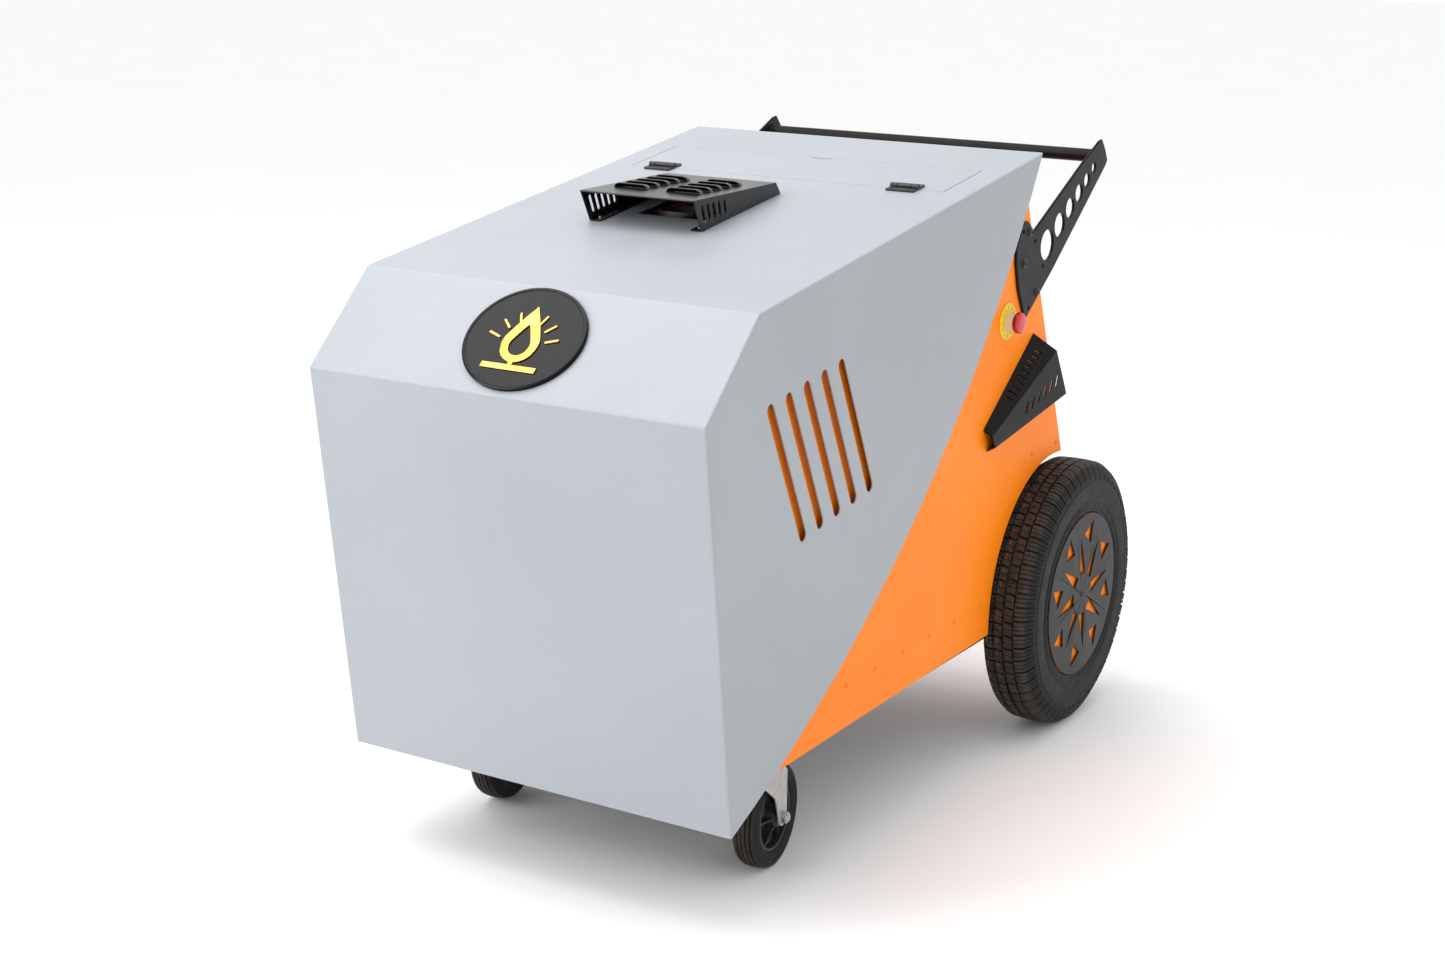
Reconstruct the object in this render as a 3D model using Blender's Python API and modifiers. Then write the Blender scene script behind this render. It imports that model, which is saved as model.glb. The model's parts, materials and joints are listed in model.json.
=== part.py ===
"""Mobile diesel-heated pressure washer: orange chassis, hinged grey hood, push handle, two
rear wheels and two front casters. Metres, +Z up, front faces -Y, handle at +Y."""

import math

import bmesh
import bpy
from mathutils import Matrix, Vector

# Driving dimensions. Y is measured from the foot of the hood's front face, and every object
# is moved by ORIGIN_Y at the end, so that the origin lies under the middle of the machine.
ORIGIN_Y = -0.61511
HOOD_HALF = 0.330  # half the hood's width
HOOD_SHEET = 0.0025
HOOD_FOOT = (0.0, 0.155)  # (y, z) of the front face's foot
HOOD_BROW = (-0.078, 0.743)
HOOD_BEND = (0.053, 0.8705)
HOOD_TIP = (0.932, 0.9975)  # rear end of the top
HOOD_ARC = (-0.7546, 1.9348, 1.9329)  # centre y, centre z and radius of the sides' lower edge
SLOT_TOP = (0.0835, 0.745)
SLOT_FOOT = (0.1786, 0.5325)
SLOT_STEP = (0.0484, 0.0071)
SLOT_HALF = 0.0092
PANEL_OUT = 0.318  # outer face of the orange side panels
PANEL_SHEET = 0.0025
WHEEL_Y, WHEEL_X = 1.0765, 0.3382
TYRE_R, TYRE_HALF = 0.2312, 0.0468
ARCH_R = 0.2415
AXLE_R = 0.0125
CASTER_X, CASTER_Y, CASTER_TRAIL = 0.2395, 0.2016, 0.055
CASTER_R, CASTER_HALF = 0.080, 0.020
CASTER_SWING = math.radians(6)  # both casters rest swung this far anticlockwise
FLOOR_Z = 0.2065  # underside of the floor pan
HANDLE_IN, HANDLE_OUT = 0.3183, 0.3233
BAR_AT, BAR_R = (1.188, 0.971), 0.011
HINGE_AT = (0.868, 0.948)  # hood hinge, y and z
LID_FRONT, LID_REAR, LID_HALF = 0.6250, 0.7615, 0.2840  # distances along the hood's top
GAP = 0.0003

TOP_SLOPE = math.atan2(HOOD_TIP[1] - HOOD_BEND[1], HOOD_TIP[0] - HOOD_BEND[0])
BEVEL_SLOPE = math.atan2(HOOD_BEND[1] - HOOD_BROW[1], HOOD_BEND[0] - HOOD_BROW[0])
REAR_FOOT, REAR_HEAD = (1.1036, 0.4761), (0.8977, 0.9620)
REAR_SLOPE = math.atan2(REAR_HEAD[1] - REAR_FOOT[1], REAR_FOOT[0] - REAR_HEAD[0])

for obj in list(bpy.data.objects):
    bpy.data.objects.remove(obj)
washer = bpy.data.collections.new("pressure_washer")
bpy.context.scene.collection.children.link(washer)

# Frames: each maps local (x, y, z) to the machine. SIDE lays an outline's (y, z) on a plane
# across X. TOP and BEVEL lie on the hood's faces, REAR on the sloping rear panel.
SIDE = Matrix(((0, 0, 1, 0), (1, 0, 0, 0), (0, 1, 0, 0), (0, 0, 0, 1)))
TOP = Matrix.Translation((0, *HOOD_BEND)) @ Matrix.Rotation(TOP_SLOPE, 4, "X")
BEVEL = Matrix.Translation((0, *HOOD_BROW)) @ Matrix.Rotation(BEVEL_SLOPE, 4, "X")
REAR = (
    Matrix.Translation((0, *REAR_FOOT))
    @ Matrix.Rotation(math.pi, 4, "Z")
    @ Matrix.Rotation(REAR_SLOPE, 4, "X")
)
BACK = Matrix.Translation((0, REAR_FOOT[0], 0)) @ Matrix.Rotation(math.pi, 4, "Z")
BACK = BACK @ Matrix.Rotation(math.pi / 2, 4, "X")
ALONG_X = Matrix.Rotation(math.pi / 2, 4, "Y")
ALONG_Y = Matrix.Rotation(-math.pi / 2, 4, "X")


def at(x=0.0, y=0.0, z=0.0):
    return Matrix.Translation((x, y, z))


# ---------------------------------------------------------------- shape helpers


def add(name, mesh):
    obj = bpy.data.objects.new(name, mesh)
    washer.objects.link(obj)
    return obj


def from_bmesh(name, bm, place):
    bmesh.ops.remove_doubles(bm, verts=bm.verts, dist=1e-6)
    bmesh.ops.recalc_face_normals(bm, faces=bm.faces)
    bm.transform(place)
    mesh = bpy.data.meshes.new(name)
    bm.to_mesh(mesh)
    bm.free()
    return add(name, mesh)


def flat(name, loops, low, high, place=Matrix()):
    """Closed outlines in local X and Y, the first the rim and the others holes, made into a
    plate from low to high along local Z."""
    curve = bpy.data.curves.new(name, "CURVE")
    curve.dimensions = "2D"
    curve.fill_mode = "BOTH"
    curve.extrude = (high - low) / 2
    for loop in loops:
        spline = curve.splines.new("POLY")
        spline.points.add(len(loop) - 1)
        for point, (u, v) in zip(spline.points, loop):
            point.co = (u, v, 0, 1)
        spline.use_cyclic_u = True
    holder = bpy.data.objects.new(name + "_outline", curve)
    washer.objects.link(holder)
    graph = bpy.context.evaluated_depsgraph_get()
    mesh = bpy.data.meshes.new_from_object(holder.evaluated_get(graph))
    bpy.data.objects.remove(holder)
    bm = bmesh.new()
    bm.from_mesh(mesh)
    bpy.data.meshes.remove(mesh)
    return from_bmesh(name, bm, place @ at(0, 0, (low + high) / 2))


def block(name, x, y, z, place=Matrix(), bevel=0.0, segments=1):
    """A box between the given limits, with its edges rounded by bevel."""
    bm = bmesh.new()
    bmesh.ops.create_cube(bm, size=1)
    size = Vector((x[1] - x[0], y[1] - y[0], z[1] - z[0]))
    bmesh.ops.scale(bm, vec=size, verts=bm.verts)
    if bevel:
        bmesh.ops.bevel(bm, geom=bm.edges, offset=bevel, segments=segments, affect="EDGES", profile=0.5)
    middle = at((x[0] + x[1]) / 2, (y[0] + y[1]) / 2, (z[0] + z[1]) / 2)
    return from_bmesh(name, bm, place @ middle)


def turned(name, profile, place=Matrix(), steps=32, ring=False):
    """A profile of (radius, height) turned about local Z. A ring's profile is closed and
    stays off the axis."""
    mesh = bpy.data.meshes.new(name)
    count = len(profile)
    edges = [(i, i + 1) for i in range(count - 1)] + ([(count - 1, 0)] if ring else [])
    mesh.from_pydata([(r, 0, h) for r, h in profile], edges, [])
    obj = add(name, mesh)
    screw = obj.modifiers.new("turn", "SCREW")
    screw.steps = screw.render_steps = steps
    screw.use_merge_vertices = True
    screw.merge_threshold = 1e-6
    bm = bmesh.new()
    bm.from_mesh(evaluated(obj))
    bpy.data.objects.remove(obj)
    return from_bmesh(name, bm, place)


def rod(name, radius, low, high, place=Matrix(), steps=24):
    return turned(name, [(0, low), (radius, low), (radius, high), (0, high)], place, steps)


def pipe(name, points, radius):
    """A round pipe along a path with rounded bends."""
    curve = bpy.data.curves.new(name, "CURVE")
    curve.dimensions = "3D"
    curve.bevel_depth = radius
    curve.bevel_resolution = 2
    curve.use_fill_caps = True
    spline = curve.splines.new("POLY")
    path = rounded(points, radius * 4)
    spline.points.add(len(path) - 1)
    for point, where in zip(spline.points, path):
        point.co = (*where, 1)
    holder = bpy.data.objects.new(name, curve)
    washer.objects.link(holder)
    bm = bmesh.new()
    bm.from_mesh(evaluated(holder))
    bpy.data.objects.remove(holder)
    return from_bmesh(name, bm, Matrix())


def rounded(points, reach):
    """The path with each inner corner replaced by four points on a curve."""
    points = [Vector(p) for p in points]
    path = [points[0]]
    for before, corner, after in zip(points, points[1:], points[2:]):
        start = corner + (before - corner).normalized() * reach
        end = corner + (after - corner).normalized() * reach
        for t in (0, 0.33, 0.67, 1):
            path.append(start.lerp(corner, t).lerp(corner.lerp(end, t), t))
    return path + [points[-1]]


def evaluated(obj):
    graph = bpy.context.evaluated_depsgraph_get()
    return bpy.data.meshes.new_from_object(obj.evaluated_get(graph))


def combine(obj, others, operation):
    for other in others:
        change = obj.modifiers.new(operation.lower(), "BOOLEAN")
        change.operation = operation
        change.solver = "EXACT"
        change.object = other
    mesh = evaluated(obj)
    obj.modifiers.clear()
    obj.data = mesh
    mesh.name = obj.name
    for other in others:
        bpy.data.objects.remove(other)
    return obj


def cut(obj, *cutters):
    return combine(obj, cutters, "DIFFERENCE")


def join(obj, *others):
    return combine(obj, others, "UNION")


def disc(centre, radius, count=16, squash=1.0):
    return [
        (
            centre[0] + radius * math.cos(2 * math.pi * i / count),
            centre[1] + squash * radius * math.sin(2 * math.pi * i / count),
        )
        for i in range(count)
    ]


def sweep(centre, radius, first, last, count):
    """Points on an arc, angles in degrees."""
    return [
        (
            centre[0] + radius * math.cos(math.radians(first + (last - first) * i / count)),
            centre[1] + radius * math.sin(math.radians(first + (last - first) * i / count)),
        )
        for i in range(count + 1)
    ]


def stadium(start, end, half, count=5):
    """The outline of a slot with round ends."""
    angle = math.degrees(math.atan2(end[1] - start[1], end[0] - start[0]))
    return sweep(end, half, angle - 90, angle + 90, count) + sweep(
        start, half, angle + 90, angle + 270, count
    )


def mirrored(name, obj):
    """A copy on the other side of the machine's middle plane."""
    mesh = obj.data.copy()
    mesh.transform(Matrix.Scale(-1, 4, (1, 0, 0)))
    mesh.flip_normals()
    return add(name, mesh)


def pivot(point, *objects):
    """Moves the objects' origins to a point on their joint's axis."""
    for obj in objects:
        shift = Vector(point) - obj.location
        obj.data.transform(Matrix.Translation(-shift))
        obj.location = point


def finish(obj, colour, roughness, metallic=0.0):
    material = bpy.data.materials.new(obj.name)
    material.use_nodes = True
    shader = material.node_tree.nodes["Principled BSDF"]
    shader.inputs["Base Color"].default_value = (*colour, 1)
    shader.inputs["Roughness"].default_value = roughness
    shader.inputs["Metallic"].default_value = metallic
    material.diffuse_color = (*colour, 1)
    obj.data.materials.clear()
    obj.data.materials.append(material)


ORANGE = ((0.90, 0.25, 0.03), 0.45, 0.0)
GREY = ((0.52, 0.55, 0.60), 0.40, 0.0)
BLACK = ((0.03, 0.03, 0.03), 0.45, 0.0)
CHARCOAL = ((0.06, 0.06, 0.06), 0.50, 0.0)
RUBBER = ((0.02, 0.02, 0.02), 0.80, 0.0)
STEEL = ((0.55, 0.55, 0.55), 0.35, 1.0)
ZINC = ((0.62, 0.63, 0.62), 0.45, 1.0)
BRASS = ((0.70, 0.50, 0.20), 0.35, 1.0)
GOLD = ((0.80, 0.58, 0.25), 0.25, 1.0)
WHITE = ((0.75, 0.74, 0.70), 0.50, 0.0)
YELLOW = ((0.85, 0.65, 0.02), 0.50, 0.0)
RED = ((0.70, 0.02, 0.02), 0.35, 0.0)

# ---------------------------------------------------------------- hood

arc_start = math.degrees(math.atan2(HOOD_FOOT[1] - HOOD_ARC[1], HOOD_FOOT[0] - HOOD_ARC[0]))
arc_end = math.degrees(math.atan2(HOOD_TIP[1] - HOOD_ARC[1], HOOD_TIP[0] - HOOD_ARC[0]))
lower_edge = sweep(HOOD_ARC[:2], HOOD_ARC[2], arc_start, arc_end, 20)


def along(a, b, distance):
    """The point past b by the distance, on the line from a to b."""
    length = math.dist(a, b)
    return tuple(q + (q - p) / length * distance for p, q in zip(a, b))


def inset(points, depth):
    """An open outline moved to its right-hand side by the depth."""
    lines = []
    for p, q in zip(points, points[1:]):
        length = math.dist(p, q)
        normal = ((q[1] - p[1]) / length * depth, -(q[0] - p[0]) / length * depth)
        lines.append(((p[0] + normal[0], p[1] + normal[1]), (q[0] + normal[0], q[1] + normal[1])))
    moved = [lines[0][0]]
    for (p, q), (r, s) in zip(lines, lines[1:]):
        d1 = (q[0] - p[0], q[1] - p[1])
        d2 = (s[0] - r[0], s[1] - r[1])
        t = ((r[0] - p[0]) * d2[1] - (r[1] - p[1]) * d2[0]) / (d1[0] * d2[1] - d1[1] * d2[0])
        moved.append((p[0] + t * d1[0], p[1] + t * d1[1]))
    return moved + [lines[-1][1]]


front_run = [along(HOOD_BROW, HOOD_FOOT, 0.10), HOOD_BROW, HOOD_BEND, along(HOOD_BEND, HOOD_TIP, 0.10)]
hood = flat("hood", [front_run + [(1.03, 0.05)]], -HOOD_HALF, HOOD_HALF, SIDE)
bend = hood.modifiers.new("bend", "BEVEL")
bend.width = 0.004
bend.segments = 2
bend.limit_method = "ANGLE"
bend.angle_limit = math.radians(25)
hood.data = evaluated(hood)
hood.modifiers.clear()
inner_run = inset([along(HOOD_BROW, HOOD_FOOT, 0.20), *front_run[1:3], along(HOOD_BEND, HOOD_TIP, 0.20)], HOOD_SHEET)
hollow = flat("hollow", [inner_run + [(1.13, -0.05)]], HOOD_SHEET - HOOD_HALF, HOOD_HALF - HOOD_SHEET, SIDE)
below = flat("below", [lower_edge + [(1.4, 1.2), (1.4, -0.2), (-0.3, -0.2), (-0.3, 0.11)]], -0.5, 0.5, SIDE)
slots = [
    flat(
        f"slot_{i}",
        [
            stadium(
                (SLOT_FOOT[0] + i * SLOT_STEP[0], SLOT_FOOT[1] + i * SLOT_STEP[1] + SLOT_HALF),
                (SLOT_TOP[0] + i * SLOT_STEP[0], SLOT_TOP[1] + i * SLOT_STEP[1] - SLOT_HALF),
                SLOT_HALF,
            )
        ],
        -0.4,
        0.4,
        SIDE,
    )
    for i in range(5)
]
lid_hole = block("lid_hole", (-LID_HALF, LID_HALF), (LID_FRONT, LID_REAR), (-0.02, 0.02), TOP)
flue_hole = block("flue_hole", (-0.1056, 0.0300), (0.368, 0.470), (-0.02, 0.02), TOP)
cut(hood, hollow, below, *slots, lid_hole, flue_hole)
# Two eyes under the rear of the top turn on the hinge rod.
sheet_z = HOOD_BEND[1] - HOOD_SHEET / 2 + (HINGE_AT[0] - HOOD_BEND[0]) * math.tan(TOP_SLOPE)
for side in (-1, 1):
    eye = flat(
        "eye",
        [
            sweep(HINGE_AT, 0.012, -180, 0, 8)
            + [(HINGE_AT[0] + 0.012, sheet_z + 0.0017), (HINGE_AT[0] - 0.012, sheet_z - 0.0017)],
            disc(HINGE_AT, 0.0062, 16),
        ],
        side * 0.24 - 0.006,
        side * 0.24 + 0.006,
        SIDE,
    )
    join(hood, eye)

# Black bent-sheet cowl over the flue: open to the front, low at the rear.
COWL_MID = -0.0523
COWL_LEAN = (0.2910 - 0.3086) / 0.0517  # how far the front edges run forward as they rise


def hull(name, corners, place=Matrix()):
    bm = bmesh.new()
    for corner in corners:
        bm.verts.new(corner)
    bmesh.ops.convex_hull(bm, input=bm.verts)
    return from_bmesh(name, bm, place)


def cowl_block(name, foot, front, rear, low, lift):
    """A wedge under the cowl's lines. foot, front and rear are half widths."""
    corners = []
    for side in (-1, 1):
        corners += [(COWL_MID + side * foot, 0.3086 + low * COWL_LEAN, low)]
        corners += [(COWL_MID + side * foot, 0.5396 - lift, low)]
        corners += [(COWL_MID + side * front, 0.2910, 0.0517 - lift)]
        corners += [(COWL_MID + side * rear, 0.5265 - lift, 0.0205 - lift)]
    return hull(name, corners, TOP)


cowl = cowl_block("exhaust_cowl", 0.0998, 0.1009, 0.1005, GAP, 0.0)
room = cowl_block("room", 0.0978, 0.0989, 0.0985, 0.0023, 0.002)
front_room = room.copy()
front_room.data = room.data.copy()
front_room.data.transform(TOP @ at(0, -0.030, 0) @ TOP.inverted())
washer.objects.link(front_room)
louvres = [
    block(
        "louvre",
        (COWL_MID + column * 0.0467 - 0.0285, COWL_MID + column * 0.0467 + 0.0245),
        (0.353 + 0.0277 * row, 0.361 + 0.0277 * row),
        (0.012, 0.08),
        TOP,
    )
    for row in range(5)
    for column in (-1, 1)
]
side_slots = [
    flat(
        "side_slot",
        [stadium((0.3190 + 0.0145 * i, 0.0138), (0.3130 + 0.0154 * i, 0.0370 - 0.0017 * i), 0.0033, 2)],
        -0.4,
        0.4,
        TOP @ SIDE,
    )
    for i in range(5)
]
mouth = block("mouth", (COWL_MID - 0.080, COWL_MID + 0.080), (0.25, 0.522), (-0.01, 0.01), TOP)
cut(cowl, join(room, front_room), mouth, *louvres, *side_slots)

# Oval badge on the sloping brow, with a plain gold drop in relief.
badge = flat("badge_plate", [disc((0, 0), 0.0955, 40, 0.085 / 0.0955)], GAP, 0.0055, BEVEL @ at(0, 0.093))
drop = sweep((0, -0.012), 0.030, -150, -30, 8) + sweep((0.001, -0.010), 0.029, -20, 30, 4)
drop = [(x, y) for x, y in drop] + [(0.012, 0.032), (0.0, 0.052)]
drop = drop + [(-x, y) for x, y in reversed(drop[9:-1])]
inner_drop = [(x * 0.55, (y + 0.012) * 0.55 - 0.014) for x, y in drop]
emblem = flat("badge_emblem", [drop, inner_drop], 0.0055 + GAP, 0.0075, BEVEL @ at(0, 0.093))
bar = block("bar", (-0.045, 0.045), (-0.055, -0.046), (0.0055 + GAP, 0.0075), BEVEL @ at(0, 0.093))
stem = block("stem", (-0.004, 0.004), (-0.050, -0.036), (0.0055 + GAP, 0.0074), BEVEL @ at(0, 0.093))
join(emblem, stem, bar)

# Service lid with a finger notch, on two butt hinges.
LID_PIN = (LID_FRONT + 0.0005, 0.0046)
notch = stadium((-0.014, LID_REAR), (0.014, LID_REAR), 0.006)
lid = block(
    "lid",
    (-LID_HALF + 0.0012, LID_HALF - 0.0012),
    (LID_FRONT + 0.0012, LID_REAR - 0.0012),
    (-HOOD_SHEET, 0),
    TOP,
)
cut(lid, flat("notch", [notch], -0.02, 0.02, TOP))
lid_hinges = []
for side, word in ((1, "right"), (-1, "left")):
    middle = side * 0.222 - 0.0035
    pin_line = TOP @ at(middle, *LID_PIN) @ ALONG_X
    fixed = block("lid_hinge_fixed_" + word, (middle - 0.0240, middle + 0.0240), (0.606, 0.6240), (GAP, 0.0033), TOP)
    cut(fixed, block("relief", (middle - 0.0125, middle + 0.0125), (0.6205, 0.63), (-0.001, 0.005), TOP))
    for low, high in ((-0.0240, -0.0125), (0.0125, 0.0240)):
        join(fixed, rod("knuckle", 0.0040, low, high, pin_line, 12))
    join(fixed, rod("pin", 0.0015, -0.020, 0.020, pin_line, 10))
    moving = block("lid_hinge_moving_" + word, (middle - 0.0240, middle + 0.0240), (0.6305, 0.646), (GAP, 0.0033), TOP)
    join(
        moving,
        block("neck", (middle - 0.012, middle + 0.012), (0.6262, 0.634), (0.0009, 0.0031), TOP),
        rod("knuckle", 0.0040, -0.012, 0.012, pin_line, 12),
    )
    cut(moving, rod("bore", 0.0018, -0.03, 0.03, pin_line, 10))
    finish(fixed, *BLACK)
    finish(moving, *BLACK)
    lid_hinges += [(fixed, moving)]

finish(hood, *GREY)
finish(cowl, *BLACK)
finish(badge, *BLACK)
finish(emblem, *GOLD)
finish(lid, *GREY)

# ---------------------------------------------------------------- chassis

inner_front = inset([HOOD_FOOT, HOOD_BROW, HOOD_BEND, HOOD_TIP], 0.014)
arch = sweep((WHEEL_Y, TYRE_R), ARCH_R, 178.5, 83.6, 16)
panel_outline = (
    [(0.012, 0.2028), inner_front[1], inner_front[2], REAR_HEAD, REAR_FOOT]
    + arch[::-1]
    + [(0.8351, 0.2120), (0.1495, 0.2035)]
)
side_right = flat("side_panel_right", [panel_outline], PANEL_OUT - PANEL_SHEET, PANEL_OUT, SIDE)
# The wheel well's curved roof and flat inner wall.
roof = sweep((WHEEL_Y, TYRE_R), ARCH_R + 0.0006, 184, 84.0, 16)
roof += sweep((WHEEL_Y, TYRE_R), ARCH_R + 0.0030, 84.0, 184, 16)
well_roof = flat("well_roof", [roof], 0.2790, 0.3170, SIDE)
wall = sweep((WHEEL_Y, TYRE_R), ARCH_R + 0.0018, 184, 86.0, 16) + [(1.0990, 0.4737), (1.0990, 0.2130)]
wall = [(y, max(z, 0.2130)) for y, z in wall]
well_wall = flat("well_wall", [wall, disc((WHEEL_Y, TYRE_R), 0.0165, 16)], 0.2788, 0.2812, SIDE)
join(side_right, well_roof, well_wall)
side_left = mirrored("side_panel_left", side_right)
finish(side_right, *ORANGE)
finish(side_left, *ORANGE)

rear_run = [(REAR_HEAD[0] + 0.0007, REAR_HEAD[1] - 0.004), (REAR_FOOT[0] - 0.001, REAR_FOOT[1])]
rear_run += [(REAR_FOOT[0] - 0.001, 0.2115)]
rear_skin = rear_run + inset(rear_run, 0.0025)[::-1]
rear_panel = flat("rear_panel", [rear_skin], -0.3150, 0.3150, SIDE)
cut(
    rear_panel,
    block("notch", (0.2783, 0.4), (1.0, 1.2), (0.1, 0.4765)),
    block("notch", (-0.4, -0.2783), (1.0, 1.2), (0.1, 0.4765)),
    block("rocker_well", (0.078, 0.102), (0.290, 0.330), (-0.01, 0.02), REAR),
)
finish(rear_panel, *ORANGE)

# Floor pan with an upturned front edge and two axle brackets.
floor_outline = [(-0.315, 0.030), (0.315, 0.030), (0.315, 0.826), (0.2775, 0.826), (0.2775, 1.0985)]
floor_outline += [(-x, y) for x, y in floor_outline[:1:-1]]
floor_pan = flat("floor_pan", [floor_outline], FLOOR_Z, FLOOR_Z + 0.003)
lip = block("lip", (-0.315, 0.315), (0.030, 0.0325), (FLOOR_Z + 0.001, 0.262))
ears = [
    flat(
        "ear",
        [
            [(1.030, 0.2080), (1.097, 0.2080), (1.097, 0.245), (1.088, 0.262), (1.065, 0.262), (1.040, 0.240)],
            disc((WHEEL_Y, TYRE_R), AXLE_R + GAP, 24),
        ],
        side * 0.259 - 0.004,
        side * 0.259 + 0.004,
        SIDE,
    )
    for side in (-1, 1)
]
join(floor_pan, lip, *ears)
finish(floor_pan, *CHARCOAL)

front_frame = flat(
    "front_frame",
    [
        [(-0.3145, 0.2103), (0.3145, 0.2103), (0.3145, 0.700), (-0.3145, 0.700)],
        [(-0.270, 0.262), (0.270, 0.262), (0.270, 0.655), (-0.270, 0.655)],
    ],
    0,
    0.020,
    at(0, 0.056) @ Matrix.Rotation(math.pi / 2, 4, "X"),
)
finish(front_frame, *CHARCOAL)

axle = rod("axle", AXLE_R, -0.372, 0.372, at(0, WHEEL_Y, TYRE_R) @ ALONG_X, 24)
finish(axle, *STEEL)
hood_rod = rod("hood_hinge_rod", 0.0058, -0.3150, 0.3150, at(0, *HINGE_AT) @ ALONG_X, 16)
finish(hood_rod, *STEEL)

# Push handle: two perforated plates and a round bar.
handle_outline = [
    (0.8662, 0.8506), (0.8850, 0.8885), (0.8923, 0.8925), (0.9079, 0.8923), (0.9336, 0.8739),
    (1.1193, 0.9656), (1.1887, 0.9964), (1.2016, 0.9987), (1.2180, 0.9800), (1.2296, 0.9606),
    (1.2221, 0.9510), (1.0156, 0.7985), (0.9742, 0.7708), (0.9187, 0.7334), (0.9083, 0.7374),
    (0.8815, 0.7839), (0.8690, 0.8261),
]  # fmt: skip
big_holes = [
    ((0.9874, 0.8437), 0.0255), ((1.0352, 0.8711), 0.0202), ((1.0759, 0.8948), 0.0170),
    ((1.1111, 0.9162), 0.0149), ((1.1430, 0.9348), 0.0120), ((1.1702, 0.9530), 0.0090),
]  # fmt: skip
small_holes = [(0.8902, 0.8766), (0.9377, 0.8563), (0.9733, 0.8108), (0.9228, 0.7484)]
handle_holes = [disc(c, r, 16) for c, r in big_holes] + [disc(c, 0.0032, 6) for c in small_holes]
bracket_right = flat("handle_bracket_right", [handle_outline, *handle_holes], HANDLE_IN, HANDLE_OUT, SIDE)
for y, z in ((0.9160, 0.8728), (0.8983, 0.8239), (0.9541, 0.7704)):
    head = [(0, -0.001), (0.0078, -0.001), (0.0078, 0.0008), (0.0050, 0.0028), (0, 0.0028)]
    join(bracket_right, turned("head", head, at(HANDLE_OUT, y, z) @ ALONG_X, 12))
bracket_left = mirrored("handle_bracket_left", bracket_right)
handle_bar = rod("handle_bar", BAR_R, GAP - HANDLE_IN, HANDLE_IN - GAP, at(0, *BAR_AT) @ ALONG_X, 20)
finish(bracket_right, *BLACK)
finish(bracket_left, *BLACK)
finish(handle_bar, *BLACK)

# Lance holster: a tapering channel of bent sheet on the right panel, open at both ends.
# Corners of its two ends, from the panel's side round the outside and back.
holster_front = [(0.3183, 0.7802, 0.5716), (0.3345, 0.7813, 0.5629), (0.3345, 0.7949, 0.5413), (0.3183, 0.7973, 0.5318)]
holster_rear = [(0.3183, 0.9597, 0.7007), (0.3600, 0.9636, 0.6755), (0.3600, 1.0137, 0.5941), (0.3183, 1.0300, 0.5700)]
room_front = [(0.3100, 0.7842, 0.5737), (0.3325, 0.7821, 0.5600), (0.3325, 0.7938, 0.5435), (0.3100, 0.7975, 0.5285)]
room_rear = [(0.3100, 0.9598, 0.7030), (0.3580, 0.9650, 0.6722), (0.3580, 1.0123, 0.5972), (0.3100, 1.0315, 0.5678)]
beyond = [
    tuple(p + (q - p) * t for p, q in zip(start, end))
    for t in (-0.1, 1.1)
    for start, end in zip(room_front, room_rear)
]
holster = hull("lance_holster", holster_front + holster_rear)
slits = []
# Rows of short slots: count, ends of the row, a slot's half reach and half width, inner x.
for count, start, end, (dy, dz), half, inner in (
    (6, (0.884, 0.592), (0.976, 0.622), (0.0015, 0.0080), 0.0026, 0.335),
    (10, (0.848, 0.6125), (0.941, 0.6745), (-0.0012, 0.0022), 0.0015, 0.322),
):
    for i in range(count):
        y, z = (a + (b - a) * i / (count - 1) for a, b in zip(start, end))
        slits.append(flat("slit", [stadium((y - dy, z - dz), (y + dy, z + dz), half, 3)], inner, 0.40, SIDE))
cut(holster, hull("pocket", beyond), *slits)
finish(holster, *BLACK)

# Emergency stop: legend plate, collar and mushroom head.
STOP = at(PANEL_OUT, 0.8530, 0.7360) @ ALONG_X
stop_plate = rod("stop_plate", 0.0301, GAP, 0.0018, STOP, 32)
stop_collar = turned(
    "stop_collar",
    [(0, 0.0021), (0.0148, 0.0021), (0.0148, 0.0130), (0.0135, 0.0150), (0.0100, 0.0150), (0.0100, 0.0060), (0, 0.0060)],
    STOP,
    24,
)
stop_button = turned(
    "stop_button",
    [(0, 0.0095), (0.0094, 0.0095), (0.0094, 0.0185), (0.0160, 0.0185), (0.0172, 0.0200), (0.0170, 0.0240), (0.0140, 0.0265), (0, 0.0275)],
    STOP,
    24,
)
finish(stop_plate, *YELLOW)
finish(stop_collar, *WHITE)
finish(stop_button, *RED)

# ---------------------------------------------------------------- machinery under the hood

BOILER = (-0.035, 0.467)
boiler = turned(
    "boiler",
    [
        (0, 0.826), (0.118, 0.818), (0.176, 0.796), (0.182, 0.778), (0.182, 0.242), (0.152, 0.241), (0.152, 0.2103),
        (0.160, 0.2103), (0.160, 0.235), (0.190, 0.236), (0.190, 0.780), (0.182, 0.800), (0.120, 0.826),
        (0.078, 0.834), (0, 0.834),
    ],
    at(*BOILER),
    32,
)  # fmt: skip
flue = turned(
    "exhaust_pipe",
    [(0.0365, 0.8343), (0.060, 0.8343), (0.060, 0.8400), (0.039, 0.8400), (0.039, 0.929), (0.0365, 0.929)],
    at(BOILER[0] - 0.0173, BOILER[1]),
    28,
    ring=True,
)
burner = block("burner", (-0.125, 0.055), (0.085, 0.215), (0.270, 0.430), bevel=0.012)
join(
    burner,
    rod("blast_tube", 0.055, 0.20, 0.2757, at(BOILER[0], 0, 0.350) @ ALONG_Y, 24),
    rod("fan", 0.070, -0.035, 0.020, at(-0.143, 0.150, 0.350) @ ALONG_X, 24),
)
finish(boiler, *STEEL)
finish(flue, *STEEL)
finish(burner, *CHARCOAL)

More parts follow.
